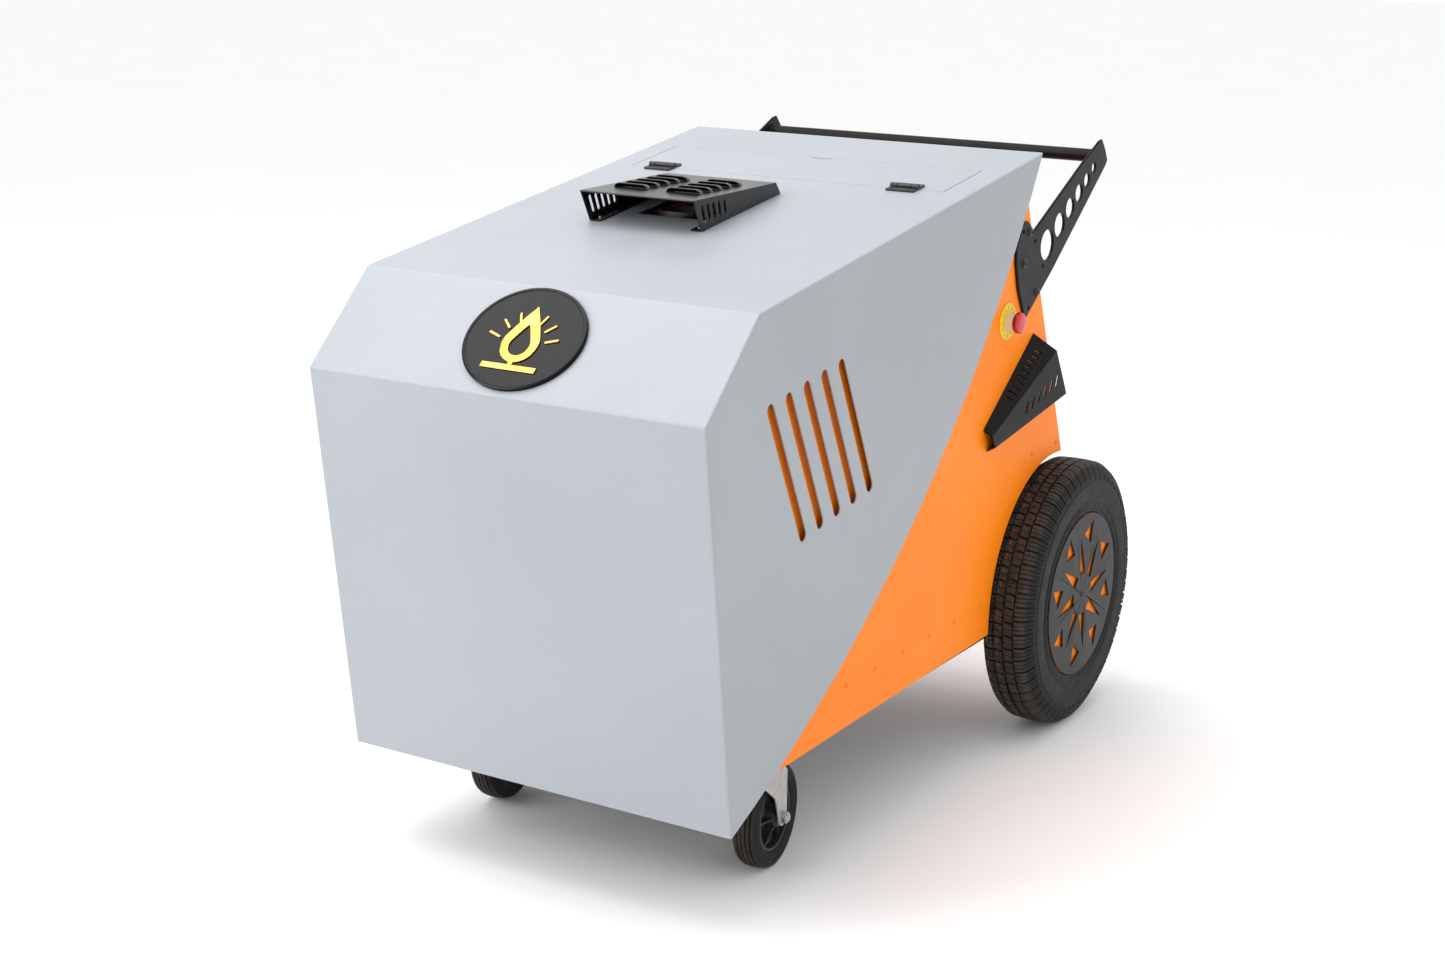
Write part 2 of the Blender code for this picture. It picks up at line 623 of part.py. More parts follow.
motor = turned(
    "pump_motor",
    [(0, 0.175), (0.050, 0.175), (0.066, 0.190), (0.066, 0.400), (0.040, 0.410), (0.040, 0.4397), (0, 0.4397)],
    at(0.225, 0, 0.292) @ ALONG_Y,
    28,
)
join(motor, block("feet", (0.165, 0.285), (0.220, 0.370), (0.2100, 0.240)))
pump = block("pump", (0.170, 0.280), (0.4400, 0.570), (0.2100, 0.340), bevel=0.006)
join(pump, block("head", (0.180, 0.270), (0.560, 0.615), (0.255, 0.330)))
finish(motor, *STEEL)
finish(pump, *BRASS)

feed_line = rod("feed_line", 0.006, 0.1512, 0.1697, at(0, 0.520, 0.265) @ ALONG_X, 12)
steam_line = pipe(
    "steam_line",
    [(0.0, 0.6557, 0.360), (0.0, 0.880, 0.360), (0.120, 0.990, 0.390), (0.120, 1.0990, 0.390)],
    0.005,
)
finish(feed_line, *STEEL)
finish(steam_line, *STEEL)

CAP_Y, CAP_Z = 0.742, 0.9045
tanks = {}
for side, word in ((-1, "water"), (1, "fuel")):
    low, high = sorted((side * 0.010, side * 0.270))
    tank = block(word + "_tank", (low, high), (0.675, 0.828), (0.2100, 0.870), bevel=0.015, segments=2)
    join(tank, rod("neck", 0.030, 0.86, CAP_Z - 0.010, at(side * 0.14, CAP_Y), 24))
    cap = turned(
        word + "_cap",
        [(0, CAP_Z - 0.0095), (0.0345, CAP_Z - 0.0095), (0.0345, CAP_Z + 0.008), (0.032, CAP_Z + 0.010), (0, CAP_Z + 0.010)],
        at(side * 0.14, CAP_Y),
        24,
    )
    join(cap, block("grip", (side * 0.14 - 0.028, side * 0.14 + 0.028), (CAP_Y - 0.006, CAP_Y + 0.006), (CAP_Z, CAP_Z + 0.018)))
    pivot((side * 0.14, CAP_Y, CAP_Z), cap)
    tanks[word] = (tank, cap)
finish(tanks["water"][0], *WHITE)
finish(tanks["water"][1], (0.05, 0.15, 0.55), 0.5)
finish(tanks["fuel"][0], *CHARCOAL)
finish(tanks["fuel"][1], *RED)

# ---------------------------------------------------------------- controls and ports at the rear

control_box = block("control_box", (-0.14, 0.14), (0.215, 0.375), (-0.090, -0.0040), REAR, bevel=0.004)
control_plate = block("control_plate", (-0.16, 0.16), (0.205, 0.385), (-0.0005, 0.0030), REAR)
GAUGE, SWITCH, ROCKER = (-0.095, 0.310), (0.0, 0.310), (0.090, 0.310)
join(
    control_plate,
    turned(
        "gauge",
        [(0, 0.0010), (0.034, 0.0010), (0.034, 0.014), (0.030, 0.014), (0.030, 0.008), (0, 0.008)],
        REAR @ at(*GAUGE),
        32,
    ),
    rod("switch_base", 0.026, 0.001, 0.0055, REAR @ at(*SWITCH), 24),
)
cut(control_plate, block("rocker_well", (0.078, 0.102), (0.290, 0.330), (-0.01, 0.02), REAR))
needle = rod("gauge_needle", 0.003, 0.0085, 0.0115, REAR @ at(*GAUGE), 12)
join(needle, block("pointer", (-0.0008, 0.0008), (-0.006, 0.024), (0.0092, 0.0105), REAR @ at(*GAUGE) @ Matrix.Rotation(math.radians(120), 4, "Z")))
knob = turned(
    "main_switch",
    [(0, 0.0058), (0.019, 0.0058), (0.019, 0.012), (0.016, 0.014), (0, 0.014)],
    REAR @ at(*SWITCH),
    24,
)
join(knob, block("grip", (-0.005, 0.005), (-0.020, 0.020), (0.010, 0.026), REAR @ at(*SWITCH)))
rocker = flat(
    "pump_rocker",
    [[(-0.0180, -0.0004), (-0.0180, 0.0075), (0.0, 0.0052), (0.0180, 0.0048), (0.0180, -0.0004)]],
    -0.0105,
    0.0105,
    REAR @ at(ROCKER[0], ROCKER[1], 0.0) @ SIDE,
)
pivot(REAR @ Vector((*GAUGE, 0.010)), needle)
pivot(REAR @ Vector((*SWITCH, 0.010)), knob)
pivot(REAR @ Vector((*ROCKER, 0.0)), rocker)
finish(control_box, *CHARCOAL)
finish(control_plate, *CHARCOAL)
finish(needle, *RED)
finish(knob, *RED)
finish(rocker, *BLACK)

# Ports on the upright part of the rear panel.
OUTLET = BACK @ at(-0.120, 0.390)
outlet = turned(
    "outlet_valve",
    [(0, GAP), (0.018, GAP), (0.018, 0.006), (0.012, 0.008), (0.012, 0.022), (0.015, 0.024), (0.015, 0.040), (0.010, 0.042), (0.010, 0.056), (0.006, 0.056), (0.006, 0.046), (0, 0.046)],
    OUTLET,
    20,
)
join(outlet, rod("stem", 0.0055, 0.0, 0.0205, OUTLET @ at(0, 0, 0.032) @ Matrix.Rotation(-math.pi / 2, 4, "X"), 12))
lever = flat(
    "outlet_lever",
    [stadium((0, 0), (0.052, 0), 0.008, 6)],
    0.0208,
    0.0240,
    OUTLET @ at(0, 0, 0.032) @ Matrix.Rotation(-math.pi / 2, 4, "X"),
)
pivot(OUTLET @ Vector((0, 0.0220, 0.032)), lever)
inlet = turned(
    "water_inlet",
    [(0, GAP), (0.020, GAP), (0.020, 0.006), (0.013, 0.008), (0.013, 0.020), (0.0165, 0.022), (0.0165, 0.034), (0.009, 0.034), (0.009, 0.012), (0, 0.012)],
    BACK @ at(0.0, 0.330),
    20,
)
power = block("power_inlet", (0.085, 0.155), (0.350, 0.420), (GAP, 0.012), BACK, bevel=0.003)
join(power, rod("collar", 0.026, 0.006, 0.034, BACK @ at(0.120, 0.385), 24))
cut(power, rod("socket", 0.021, 0.014, 0.05, BACK @ at(0.120, 0.385), 24))
finish(outlet, *BRASS)
finish(lever, *RED)
finish(inlet, *BRASS)
finish(power, (0.03, 0.12, 0.45), 0.5)

# ---------------------------------------------------------------- rear wheels

HUB = at(WHEEL_X, WHEEL_Y, TYRE_R) @ ALONG_X
rim = turned(
    "rim_right",
    [
        (0.0130, 0.0395), (0.0130, -0.034), (0.030, -0.034), (0.030, 0.0355), (0.124, 0.0355), (0.124, -0.041),
        (0.140, -0.041), (0.140, -0.0385), (0.1285, -0.0385), (0.1285, 0.0365), (0.140, 0.0365), (0.140, 0.0395),
    ],
    HUB,
    28,
    ring=True,
)  # fmt: skip
groove = [(0.2300, 0.0155), (0.2250, 0.0150), (0.2250, 0.0120), (0.2305, 0.0115)]
half_tyre = [
    (0.1293, 0.0358), (0.1415, 0.0358), (0.1438, 0.0425), (0.1560, 0.0455), (0.1850, TYRE_HALF),
    (0.2080, 0.0450), (0.2200, 0.0405), (0.2265, 0.0340), *groove, (TYRE_R, 0.0),
]  # fmt: skip
tyre = turned("tyre_right", half_tyre + [(r, -h) for r, h in half_tyre[-2::-1]], HUB, 32, ring=True)
# Eight small outer triangles and eight long inner ones, as (radius, angle).
outer_cut = [(0.1070, 0.5), (0.0895, -17.8), (0.1297, -15.7)]
inner_cut = [(0.0385, 19.5), (0.0385, -13.4), (0.1075, 9.3)]
# Local X points down on the wheel and local Y to the rear.
cover_holes = [
    [(-r * math.sin(math.radians(a + 45 * i)), r * math.cos(math.radians(a + 45 * i))) for r, a in shape]
    for shape in (outer_cut, inner_cut)
    for i in range(8)
]
cover = flat("hub_cover_right", [disc((0, 0), 0.1421, 40), *cover_holes], 0.0428, 0.0448, HUB)
join(cover, rod("screw", 0.0055, 0.0440, 0.0462, HUB, 10))
wheels = {}
for word in ("right", "left"):
    if word == "right":
        pieces = (tyre, rim, cover)
    else:
        pieces = tuple(mirrored(o.name.replace("right", "left"), o) for o in (tyre, rim, cover))
    finish(pieces[0], *RUBBER)
    finish(pieces[1], *ORANGE)
    finish(pieces[2], *CHARCOAL)
    wheels[word] = pieces
for word, side in (("right", 1), ("left", -1)):
    pivot((side * WHEEL_X, WHEEL_Y, TYRE_R), *wheels[word])

# ---------------------------------------------------------------- front casters

PLATE_TOP = FLOOR_Z - GAP
for side, word in ((1, "right"), (-1, "left")):
    x = side * CASTER_X
    swivel = at(x, CASTER_Y)
    swing = swivel @ Matrix.Rotation(CASTER_SWING, 4, "Z") @ swivel.inverted()
    wheel_at = swing @ at(x, CASTER_Y + CASTER_TRAIL, CASTER_R) @ ALONG_X
    plate = block("caster_plate_" + word, (x - 0.0425, x + 0.0425), (CASTER_Y - 0.052, CASTER_Y + 0.052), (PLATE_TOP - 0.003, PLATE_TOP))
    kingpin = [
        (0, 0.1765), (0.010, 0.1765), (0.010, 0.1830), (0.0060, 0.1830), (0.0060, 0.1945), (0.034, 0.1945),
        (0.036, 0.1990), (0.036, 0.2045), (0, 0.2045),
    ]  # fmt: skip
    join(plate, turned("kingpin", kingpin, swivel, 24))
    fork = turned(
        "caster_fork_" + word,
        [(0.0063, 0.1845), (0.034, 0.1845), (0.036, 0.1880), (0.030, 0.1940), (0.0063, 0.1940)],
        swivel,
        24,
        ring=True,
    )
    axle_y = CASTER_Y + CASTER_TRAIL
    leg = [
        (CASTER_Y - 0.028, 0.1880), (CASTER_Y - 0.028, 0.1600), (axle_y - 0.028, 0.1180),
        *sweep((axle_y, CASTER_R), 0.014, 180, 360, 6), (axle_y + 0.014, 0.1500), (CASTER_Y + 0.030, 0.1880),
    ]  # fmt: skip
    legs = [
        flat("leg", [leg, disc((axle_y, CASTER_R), 0.0063, 16)], x + low, x + low + 0.003, swing @ SIDE)
        for low in (-0.0285, 0.0255)
    ]
    join(fork, *legs)
    bolt = rod("caster_bolt_" + word, 0.0060, -0.0355, 0.0355, wheel_at, 16)
    join(
        bolt,
        rod("head", 0.0098, -0.0365, -0.0290, wheel_at, 6),
        rod("nut", 0.0098, 0.0290, 0.0340, wheel_at, 6),
    )
    core_holes = [
        [
            (r * math.cos(math.radians(60 * i + a)), r * math.sin(math.radians(60 * i + a)))
            for r, a in ((0.022, -14), (0.045, -22), (0.048, 0), (0.045, 22), (0.022, 14))
        ]
        for i in range(6)
    ]
    core = flat("caster_core_" + word, [disc((0, 0), 0.0525, 28), disc((0, 0), 0.0110, 16), *core_holes], -0.006, 0.006, wheel_at)
    band = [(0.0490, -0.0160), (0.0555, -0.0160), (0.0555, 0.0160), (0.0490, 0.0160)]
    boss = [(0.0066, -0.0215), (0.0160, -0.0215), (0.0160, 0.0215), (0.0066, 0.0215)]
    join(core, turned("band", band, wheel_at, 28, ring=True), turned("boss", boss, wheel_at, 16, ring=True))
    tread = turned(
        "caster_tyre_" + word,
        [
            (0.0558, -0.0160), (0.0700, -CASTER_HALF), (0.0765, -0.0185), (0.0792, -0.0120), (0.0800, 0.0),
            (0.0792, 0.0120), (0.0765, 0.0185), (0.0700, CASTER_HALF), (0.0558, 0.0160),
        ],
        wheel_at,
        28,
        ring=True,
    )  # fmt: skip
    pivot((x, CASTER_Y, 0.190), fork, bolt)
    pivot(swing @ Vector((x, axle_y, CASTER_R)), core, tread)
    finish(plate, *ZINC)
    finish(fork, *ZINC)
    finish(bolt, *ZINC)
    finish(core, *BLACK)
    finish(tread, *RUBBER)

# ---------------------------------------------------------------- joint origins, then the shift

pivot((0, *HINGE_AT), hood, cowl, badge, emblem, *(fixed for fixed, _ in lid_hinges))
pivot(TOP @ Vector((0, *LID_PIN)), lid, *(moving for _, moving in lid_hinges))
pivot(STOP @ Vector((0, 0, 0.0120)), stop_button)
for obj in washer.objects:
    obj.location.y += ORIGIN_Y
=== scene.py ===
import json
import math

import bpy
from mathutils import Matrix, Vector


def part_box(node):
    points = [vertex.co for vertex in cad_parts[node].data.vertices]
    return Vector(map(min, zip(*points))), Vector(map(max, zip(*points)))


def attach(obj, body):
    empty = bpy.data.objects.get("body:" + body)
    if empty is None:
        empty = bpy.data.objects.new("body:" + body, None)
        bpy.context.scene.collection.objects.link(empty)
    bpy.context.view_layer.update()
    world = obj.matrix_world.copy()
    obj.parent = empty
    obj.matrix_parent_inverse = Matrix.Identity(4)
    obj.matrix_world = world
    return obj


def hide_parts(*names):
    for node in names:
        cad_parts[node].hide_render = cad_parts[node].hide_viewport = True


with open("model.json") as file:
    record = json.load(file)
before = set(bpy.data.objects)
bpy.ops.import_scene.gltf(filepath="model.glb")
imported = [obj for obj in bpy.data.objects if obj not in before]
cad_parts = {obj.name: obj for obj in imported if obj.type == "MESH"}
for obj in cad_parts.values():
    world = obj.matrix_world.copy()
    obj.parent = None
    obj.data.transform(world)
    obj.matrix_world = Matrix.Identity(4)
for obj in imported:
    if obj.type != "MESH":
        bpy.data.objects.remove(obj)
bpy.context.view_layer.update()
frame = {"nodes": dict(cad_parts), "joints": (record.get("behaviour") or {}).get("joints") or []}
joints = {joint["name"]: joint for joint in frame["joints"]}

# The front frame stands 36 mm behind the line of the hood's foot, which every distance
# along the machine below is counted from.
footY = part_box("front_frame")[0].y - 0.036


def at(x=0.0, y=0.0, z=0.0):
    return Matrix.Translation((x, y, z))


def turnedBy(degrees, axis):
    return Matrix.Rotation(math.radians(degrees), 4, axis)


# Work planes: local Z stands out of the sheet, except alongSide, whose X and Y are the
# machine's length and height and whose Z is across it.
slopes = {
    "top": math.degrees(math.atan2(0.1270, 0.8790)),
    "brow": math.degrees(math.atan2(0.1275, 0.1310)),
    "rear": math.degrees(math.atan2(0.4859, 0.2059)),
}
machine = at(0, footY, 0)
alongSide = machine @ Matrix(((0, 0, 1, 0), (1, 0, 0, 0), (0, 1, 0, 0), (0, 0, 0, 1)))
hoodTop = machine @ at(0, 0.053, 0.8705) @ turnedBy(slopes["top"], "X")
hoodBrow = machine @ at(0, -0.078, 0.743) @ turnedBy(slopes["brow"], "X")
rearSlope = machine @ at(0, 1.1036, 0.4761) @ turnedBy(180, "Z") @ turnedBy(slopes["rear"], "X")
rearWall = machine @ at(0, 1.1036, 0) @ turnedBy(180, "Z") @ turnedBy(90, "X")
acrossRight = turnedBy(90, "Y")  # local Z to +X, local X down
acrossRear = turnedBy(-90, "X")  # local Z to +Y

# ---- shaping helpers


def pickOnly(*pieces):
    bpy.ops.object.select_all(action="DESELECT")
    for piece in pieces:
        piece.select_set(True)
    bpy.context.view_layer.objects.active = pieces[0]


def edit(piece):
    pickOnly(piece)
    bpy.ops.object.mode_set(mode="EDIT")
    bpy.ops.mesh.select_all(action="SELECT")


def leave(piece, place=None):
    bpy.ops.object.mode_set(mode="OBJECT")
    bpy.ops.object.transform_apply(location=True, rotation=True, scale=True)
    if place is not None:
        piece.data.transform(place)
    return piece


def chain(name, points):
    # one corner, extruded from point to point, left in edit mode with all of it selected
    bpy.ops.object.select_all(action="DESELECT")
    bpy.ops.mesh.primitive_plane_add(size=0.01)
    piece = bpy.context.object
    piece.name = piece.data.name = name
    bpy.ops.object.mode_set(mode="EDIT")
    bpy.ops.mesh.select_mode(type="VERT")
    bpy.ops.mesh.merge(type="CENTER")
    here = Vector((0, 0, 0))
    for number, point in enumerate(points):
        step = Vector(point) - here
        here = Vector(point)
        if number == 0:
            bpy.ops.transform.translate(value=step)
        else:
            bpy.ops.mesh.extrude_region_move(TRANSFORM_OT_translate={"value": step})
    bpy.ops.mesh.select_all(action="SELECT")
    return piece


def turn(name, profile, place, steps=64, ring=False):
    # a profile of (radius, height) spun about local Z; a ring's profile closes on itself
    points = [(radius, 0, height) for radius, height in profile]
    piece = chain(name, points + points[:1] if ring else points)
    bpy.ops.mesh.spin(steps=steps, angle=2 * math.pi, center=(0, 0, 0), axis=(0, 0, 1))
    bpy.ops.mesh.select_all(action="SELECT")
    bpy.ops.mesh.remove_doubles(threshold=2e-6)
    bpy.ops.mesh.normals_make_consistent(inside=False)
    return leave(piece, place)


def bar(name, radius, low, high, place, steps=48, ease=0.0006):
    profile = [(0, low), (radius - ease, low), (radius, low + ease)]
    profile += [(radius, high - ease), (radius - ease, high), (0, high)]
    return turn(name, profile, place, steps)


def plate(name, outline, low, high, place, ease=0.0, segments=2):
    piece = chain(name, [(x, y, low) for x, y in outline])
    bpy.ops.mesh.edge_face_add()
    bpy.ops.mesh.extrude_region_move(TRANSFORM_OT_translate={"value": (0, 0, high - low)})
    bpy.ops.mesh.select_all(action="SELECT")
    bpy.ops.mesh.normals_make_consistent(inside=False)
    leave(piece, place)
    return soften(piece, ease, segments) if ease else piece


def slab(name, x, y, z, place, ease=0.001, segments=2):
    bpy.ops.object.select_all(action="DESELECT")
    middle = ((x[0] + x[1]) / 2, (y[0] + y[1]) / 2, (z[0] + z[1]) / 2)
    size = (x[1] - x[0], y[1] - y[0], z[1] - z[0])
    bpy.ops.mesh.primitive_cube_add(size=1, location=middle, scale=size)
    piece = bpy.context.object
    piece.name = piece.data.name = name
    bpy.ops.object.transform_apply(location=True, rotation=True, scale=True)
    edit(piece)
    bpy.ops.mesh.bevel(offset=ease, offset_pct=0, segments=segments, affect="EDGES")
    return leave(piece, place)


def soften(piece, width, segments=2, angle=28):
    pickOnly(piece)
    edge = piece.modifiers.new("edge", "BEVEL")
    edge.width = width
    edge.segments = segments
    edge.limit_method = "ANGLE"
    edge.angle_limit = math.radians(angle)
    edge.use_clamp_overlap = False
    edge.miter_outer = "MITER_ARC"
    bpy.ops.object.modifier_apply(modifier="edge")
    return piece


def combine(piece, others, operation):
    for other in others:
        pickOnly(piece)
        change = piece.modifiers.new("change", "BOOLEAN")
        change.operation = operation
        change.solver = "EXACT"
        change.object = other
        bpy.ops.object.modifier_apply(modifier="change")
        bpy.data.objects.remove(other)
    return piece


def copyOf(piece, name, place=Matrix()):
    copy = piece.copy()
    copy.data = piece.data.copy()
    copy.name = copy.data.name = name
    copy.data.transform(place)
    bpy.context.scene.collection.objects.link(copy)
    return copy


def mirrored(piece, name):
    copy = copyOf(piece, name, Matrix.Scale(-1, 4, (1, 0, 0)))
    copy.data.flip_normals()
    return copy


def gather(name, pieces):
    pickOnly(*pieces)
    if len(pieces) > 1:
        bpy.ops.object.join()
    pieces[0].name = pieces[0].data.name = name
    return pieces[0]


def repeated(name, piece, places):
    # one model, copied to each place with a mesh of its own, then joined
    copies = [copyOf(piece, name, place) for place in places]
    bpy.data.objects.remove(piece)
    return gather(name, copies)


def skin(node, width, segments=2):
    # a copy of a packed sheet part: merged, its flats cleaned, its edges broken as by a file
    piece = copyOf(frame["nodes"][node], node + "_skin")
    piece.parent = None
    for key in [key for key in piece.keys() if key.startswith("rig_")]:
        del piece[key]
    edit(piece)
    bpy.ops.mesh.remove_doubles(threshold=1e-5)
    bpy.ops.mesh.dissolve_limited(angle_limit=math.radians(0.3))
    # a flat that runs round an opening would fold over itself in the bevel if left in one piece
    bpy.ops.mesh.select_all(action="SELECT")
    bpy.ops.mesh.quads_convert_to_tris(quad_method="BEAUTY", ngon_method="BEAUTY")
    leave(piece)
    return soften(piece, width, segments) if width else piece


def settle(piece, body, slotName, material, *nodes, smooth=32):
    pickOnly(piece)
    bpy.ops.object.shade_smooth_by_angle(angle=math.radians(smooth))
    # large flats keep their own normal, so that broken edges don't shade across them
    normals = piece.modifiers.new("normals", "WEIGHTED_NORMAL")
    normals.keep_sharp = True
    bpy.ops.object.modifier_apply(modifier=normals.name)
    piece.data.materials.clear()
    piece.data.materials.append(material)
    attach(piece, body)
    if nodes:
        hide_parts(*nodes)
    return piece


def arc(centre, radius, first, last, count):
    angles = [math.radians(first + (last - first) * i / count) for i in range(count + 1)]
    return [(centre[0] + radius * math.cos(a), centre[1] + radius * math.sin(a)) for a in angles]


def pill(start, end, half, count=6):
    lean = math.degrees(math.atan2(end[1] - start[1], end[0] - start[0]))
    return arc(end, half, lean - 90, lean + 90, count) + arc(start, half, lean + 90, lean + 270, count)


def hexagon(radius):
    return arc((0, 0), radius, 0, 300, 5)


# ---- finishes


def linear(colour):
    levels = [int(colour[i : i + 2], 16) / 255 for i in (1, 3, 5)]
    return tuple(v / 12.92 if v <= 0.04045 else ((v + 0.055) / 1.055) ** 2.4 for v in levels) + (1,)


def addNode(tree, kind, inputs=None, **settings):
    node = tree.nodes.new("ShaderNode" + kind)
    for key, value in settings.items():
        setattr(node, key, value)
    for key, value in (inputs or {}).items():
        if isinstance(value, bpy.types.NodeSocket):
            tree.links.new(value, node.inputs[key])
        else:
            node.inputs[key].default_value = value
    return node


def newFinish(name, roughness, metallic=0.0, **sockets):
    material = bpy.data.materials.new(name)
    material.use_nodes = True
    tree = material.node_tree
    shader = tree.nodes["Principled BSDF"]
    shader.inputs["Roughness"].default_value = roughness
    shader.inputs["Metallic"].default_value = metallic
    for key, value in sockets.items():
        shader.inputs[key.replace("_", " ")].default_value = value
    place = addNode(tree, "TexCoord").outputs["Object"]
    return material, tree, shader, place


def noise(tree, place, grain, detail=2.0, rough=0.5):
    # grain is the size of one blotch, in metres
    settings = {"Vector": place, "Scale": 1 / grain, "Detail": detail, "Roughness": rough}
    return addNode(tree, "TexNoise", settings).outputs["Fac"]


def spread(tree, value, low, high, toLow=0.0, toHigh=1.0):
    inputs = {"Value": value, "From Min": low, "From Max": high, "To Min": toLow, "To Max": toHigh}
    return addNode(tree, "MapRange", inputs).outputs["Result"]


def mixed(tree, factor, first, second, how="MIX"):
    # sockets 6 and 7 of a Mix node are its two colours, and output 2 their result
    node = addNode(tree, "Mix", {0: factor, 6: first, 7: second}, data_type="RGBA", blend_type=how)
    return node.outputs[2]


def arithmetic(tree, operation, *values):
    return addNode(tree, "Math", dict(enumerate(values)), operation=operation).outputs["Value"]


def relief(tree, shader, height, depth, strength=1.0):
    inputs = {"Height": height, "Distance": depth, "Strength": strength}
    bump = addNode(tree, "Bump", inputs)
    tree.links.new(bump.outputs["Normal"], shader.inputs["Normal"])


def powderCoat(name, settings):
    # polyester powder baked on steel sheet: an even satin film with a slight orange peel
    material, tree, shader, place = newFinish(
        name, settings["roughness"], IOR=1.5, Specular_IOR_Level=settings["shine"]
    )
    clouds = spread(tree, noise(tree, place, 0.35), 0.35, 0.65)
    body = mixed(tree, clouds, linear(settings["colour"]), linear(settings["shade"]))
    speck = spread(tree, noise(tree, place, settings["speck"], 3.0, 0.7), 0.30, 0.70)
    body = mixed(tree, speck, body, mixed(tree, 1.0, body, linear(settings["fleck"]), "MULTIPLY"))
    tree.links.new(body, shader.inputs["Base Color"])
    wear = noise(tree, place, 0.06, 4.0)
    rough = spread(tree, wear, 0.3, 0.7, settings["roughness"] - 0.04, settings["roughness"] + 0.05)
    tree.links.new(rough, shader.inputs["Roughness"])
    # the peel is about 1.5 mm across; 4 mm is the finest that still shows at full view
    relief(tree, shader, noise(tree, place, settings["peel"], 1.0), settings["depth"])
    return material


coats = {
    "greyPowderCoat": {
        "colour": "#a0a5aa", "shade": "#9ca1a6", "fleck": "#f4f5f7", "speck": 0.0022,
        "roughness": 0.40, "shine": 0.50, "peel": 0.004, "depth": 0.00010,
    },
    "orangePowderCoat": {
        "colour": "#ff8c0c", "shade": "#fd8408", "fleck": "#fbf3ec", "speck": 0.003,
        "roughness": 0.46, "shine": 0.25, "peel": 0.004, "depth": 0.00010,
    },
    "blackPowderCoat": {
        "colour": "#171616", "shade": "#1b1a1a", "fleck": "#d8d8d8", "speck": 0.0015,
        "roughness": 0.36, "shine": 0.12, "peel": 0.0025, "depth": 0.00010,
    },
    "cowlPowderCoat": {
        "colour": "#1a1918", "shade": "#1e1d1c", "fleck": "#d8d8d8", "speck": 0.0015,
        "roughness": 0.28, "shine": 0.45, "peel": 0.0025, "depth": 0.00006,
    },
    "charcoalPowderCoat": {
        "colour": "#2e2e2f", "shade": "#323233", "fleck": "#e4e4e4", "speck": 0.0015,
        "roughness": 0.50, "shine": 0.25, "peel": 0.0025, "depth": 0.00012,
    },
}  # fmt: skip
coat = {name: powderCoat(name, settings) for name, settings in coats.items()}


def plainSteel(name, colour, roughness, grain, stretch):
    # mill-finish or brushed steel: fine lines along one way and faint darker stains
    material, tree, shader, place = newFinish(name, roughness, 1.0)
    lines = addNode(tree, "Mapping", {"Vector": place, "Scale": stretch}).outputs["Vector"]
    brush = noise(tree, lines, grain, 3.0)
    stain = spread(tree, noise(tree, place, 0.05, 5.0), 0.45, 0.75)
    tone = mixed(tree, spread(tree, brush, 0.3, 0.7, 0, 0.35), linear(colour), linear("#6c6a68"))
    tree.links.new(mixed(tree, stain, tone, linear("#5d5751")), shader.inputs["Base Color"])
    tree.links.new(
        spread(tree, brush, 0.3, 0.7, roughness - 0.07, roughness + 0.1), shader.inputs["Roughness"]
    )
    relief(tree, shader, brush, 0.00006)
    return material


def galvanisedSteel():
    # hot-dip zinc on pressed steel: dull grey with crystal spangle about 6 mm across
    material, tree, shader, place = newFinish("galvanisedSteel", 0.42, 1.0)
    cells = addNode(tree, "TexVoronoi", {"Vector": place, "Scale": 170.0}).outputs["Color"]
    level = addNode(tree, "SeparateColor", {"Color": cells}).outputs["Red"]
    tree.links.new(mixed(tree, level, linear("#b9bab8"), linear("#d2d2cf")), shader.inputs["Base Color"])
    tree.links.new(spread(tree, level, 0, 1, 0.34, 0.52), shader.inputs["Roughness"])
    relief(tree, shader, noise(tree, place, 0.006, 3.0), 0.00015)
    return material


def brightZinc():
    # electroplated fasteners: bright, with a faint blue cast
    material, tree, shader, place = newFinish("brightZincPlate", 0.28, 1.0)
    patch = spread(tree, noise(tree, place, 0.004, 3.0), 0.35, 0.65)
    tree.links.new(mixed(tree, patch, linear("#cfd2d6"), linear("#b3b8bf")), shader.inputs["Base Color"])
    relief(tree, shader, noise(tree, place, 0.002), 0.00005)
    return material


def turnedBrass():
    # free-cutting brass from the lathe: yellow, slightly dulled by handling
    material, tree, shader, place = newFinish("turnedBrass", 0.30, 1.0)
    dull = spread(tree, noise(tree, place, 0.012, 4.0), 0.40, 0.70)
    tree.links.new(mixed(tree, dull, linear("#d8b25c"), linear("#9b7638")), shader.inputs["Base Color"])
    tree.links.new(spread(tree, dull, 0, 1, 0.24, 0.42), shader.inputs["Roughness"])
    relief(tree, shader, noise(tree, place, 0.003), 0.00004)
    return material


def goldPlate():
    # gold-coloured plating on moulded relief: warm, soft-edged highlights
    material, tree, shader, place = newFinish("goldPlatedRelief", 0.27, 1.0)
    soft = spread(tree, noise(tree, place, 0.010, 2.0), 0.35, 0.65)
    tree.links.new(mixed(tree, soft, linear("#d9ad62"), linear("#c5954a")), shader.inputs["Base Color"])
    relief(tree, shader, noise(tree, place, 0.004), 0.00008)
    return material


def mouldedPlastic(name, colour, shade, roughness, grain=0.0015, depth=0.00006, coatWeight=0.0):
    # injection-moulded plastic: even colour, a fine tool texture and faint flow shading
    material, tree, shader, place = newFinish(name, roughness, IOR=1.5, Coat_Weight=coatWeight)
    flow = spread(tree, noise(tree, place, 0.03, 2.0), 0.35, 0.65)
    tree.links.new(mixed(tree, flow, linear(colour), linear(shade)), shader.inputs["Base Color"])
    rough = spread(tree, noise(tree, place, 0.008, 3.0), 0.3, 0.7, roughness - 0.05, roughness + 0.06)
    tree.links.new(rough, shader.inputs["Roughness"])
    relief(tree, shader, noise(tree, place, grain, 1.0), depth)
    return material


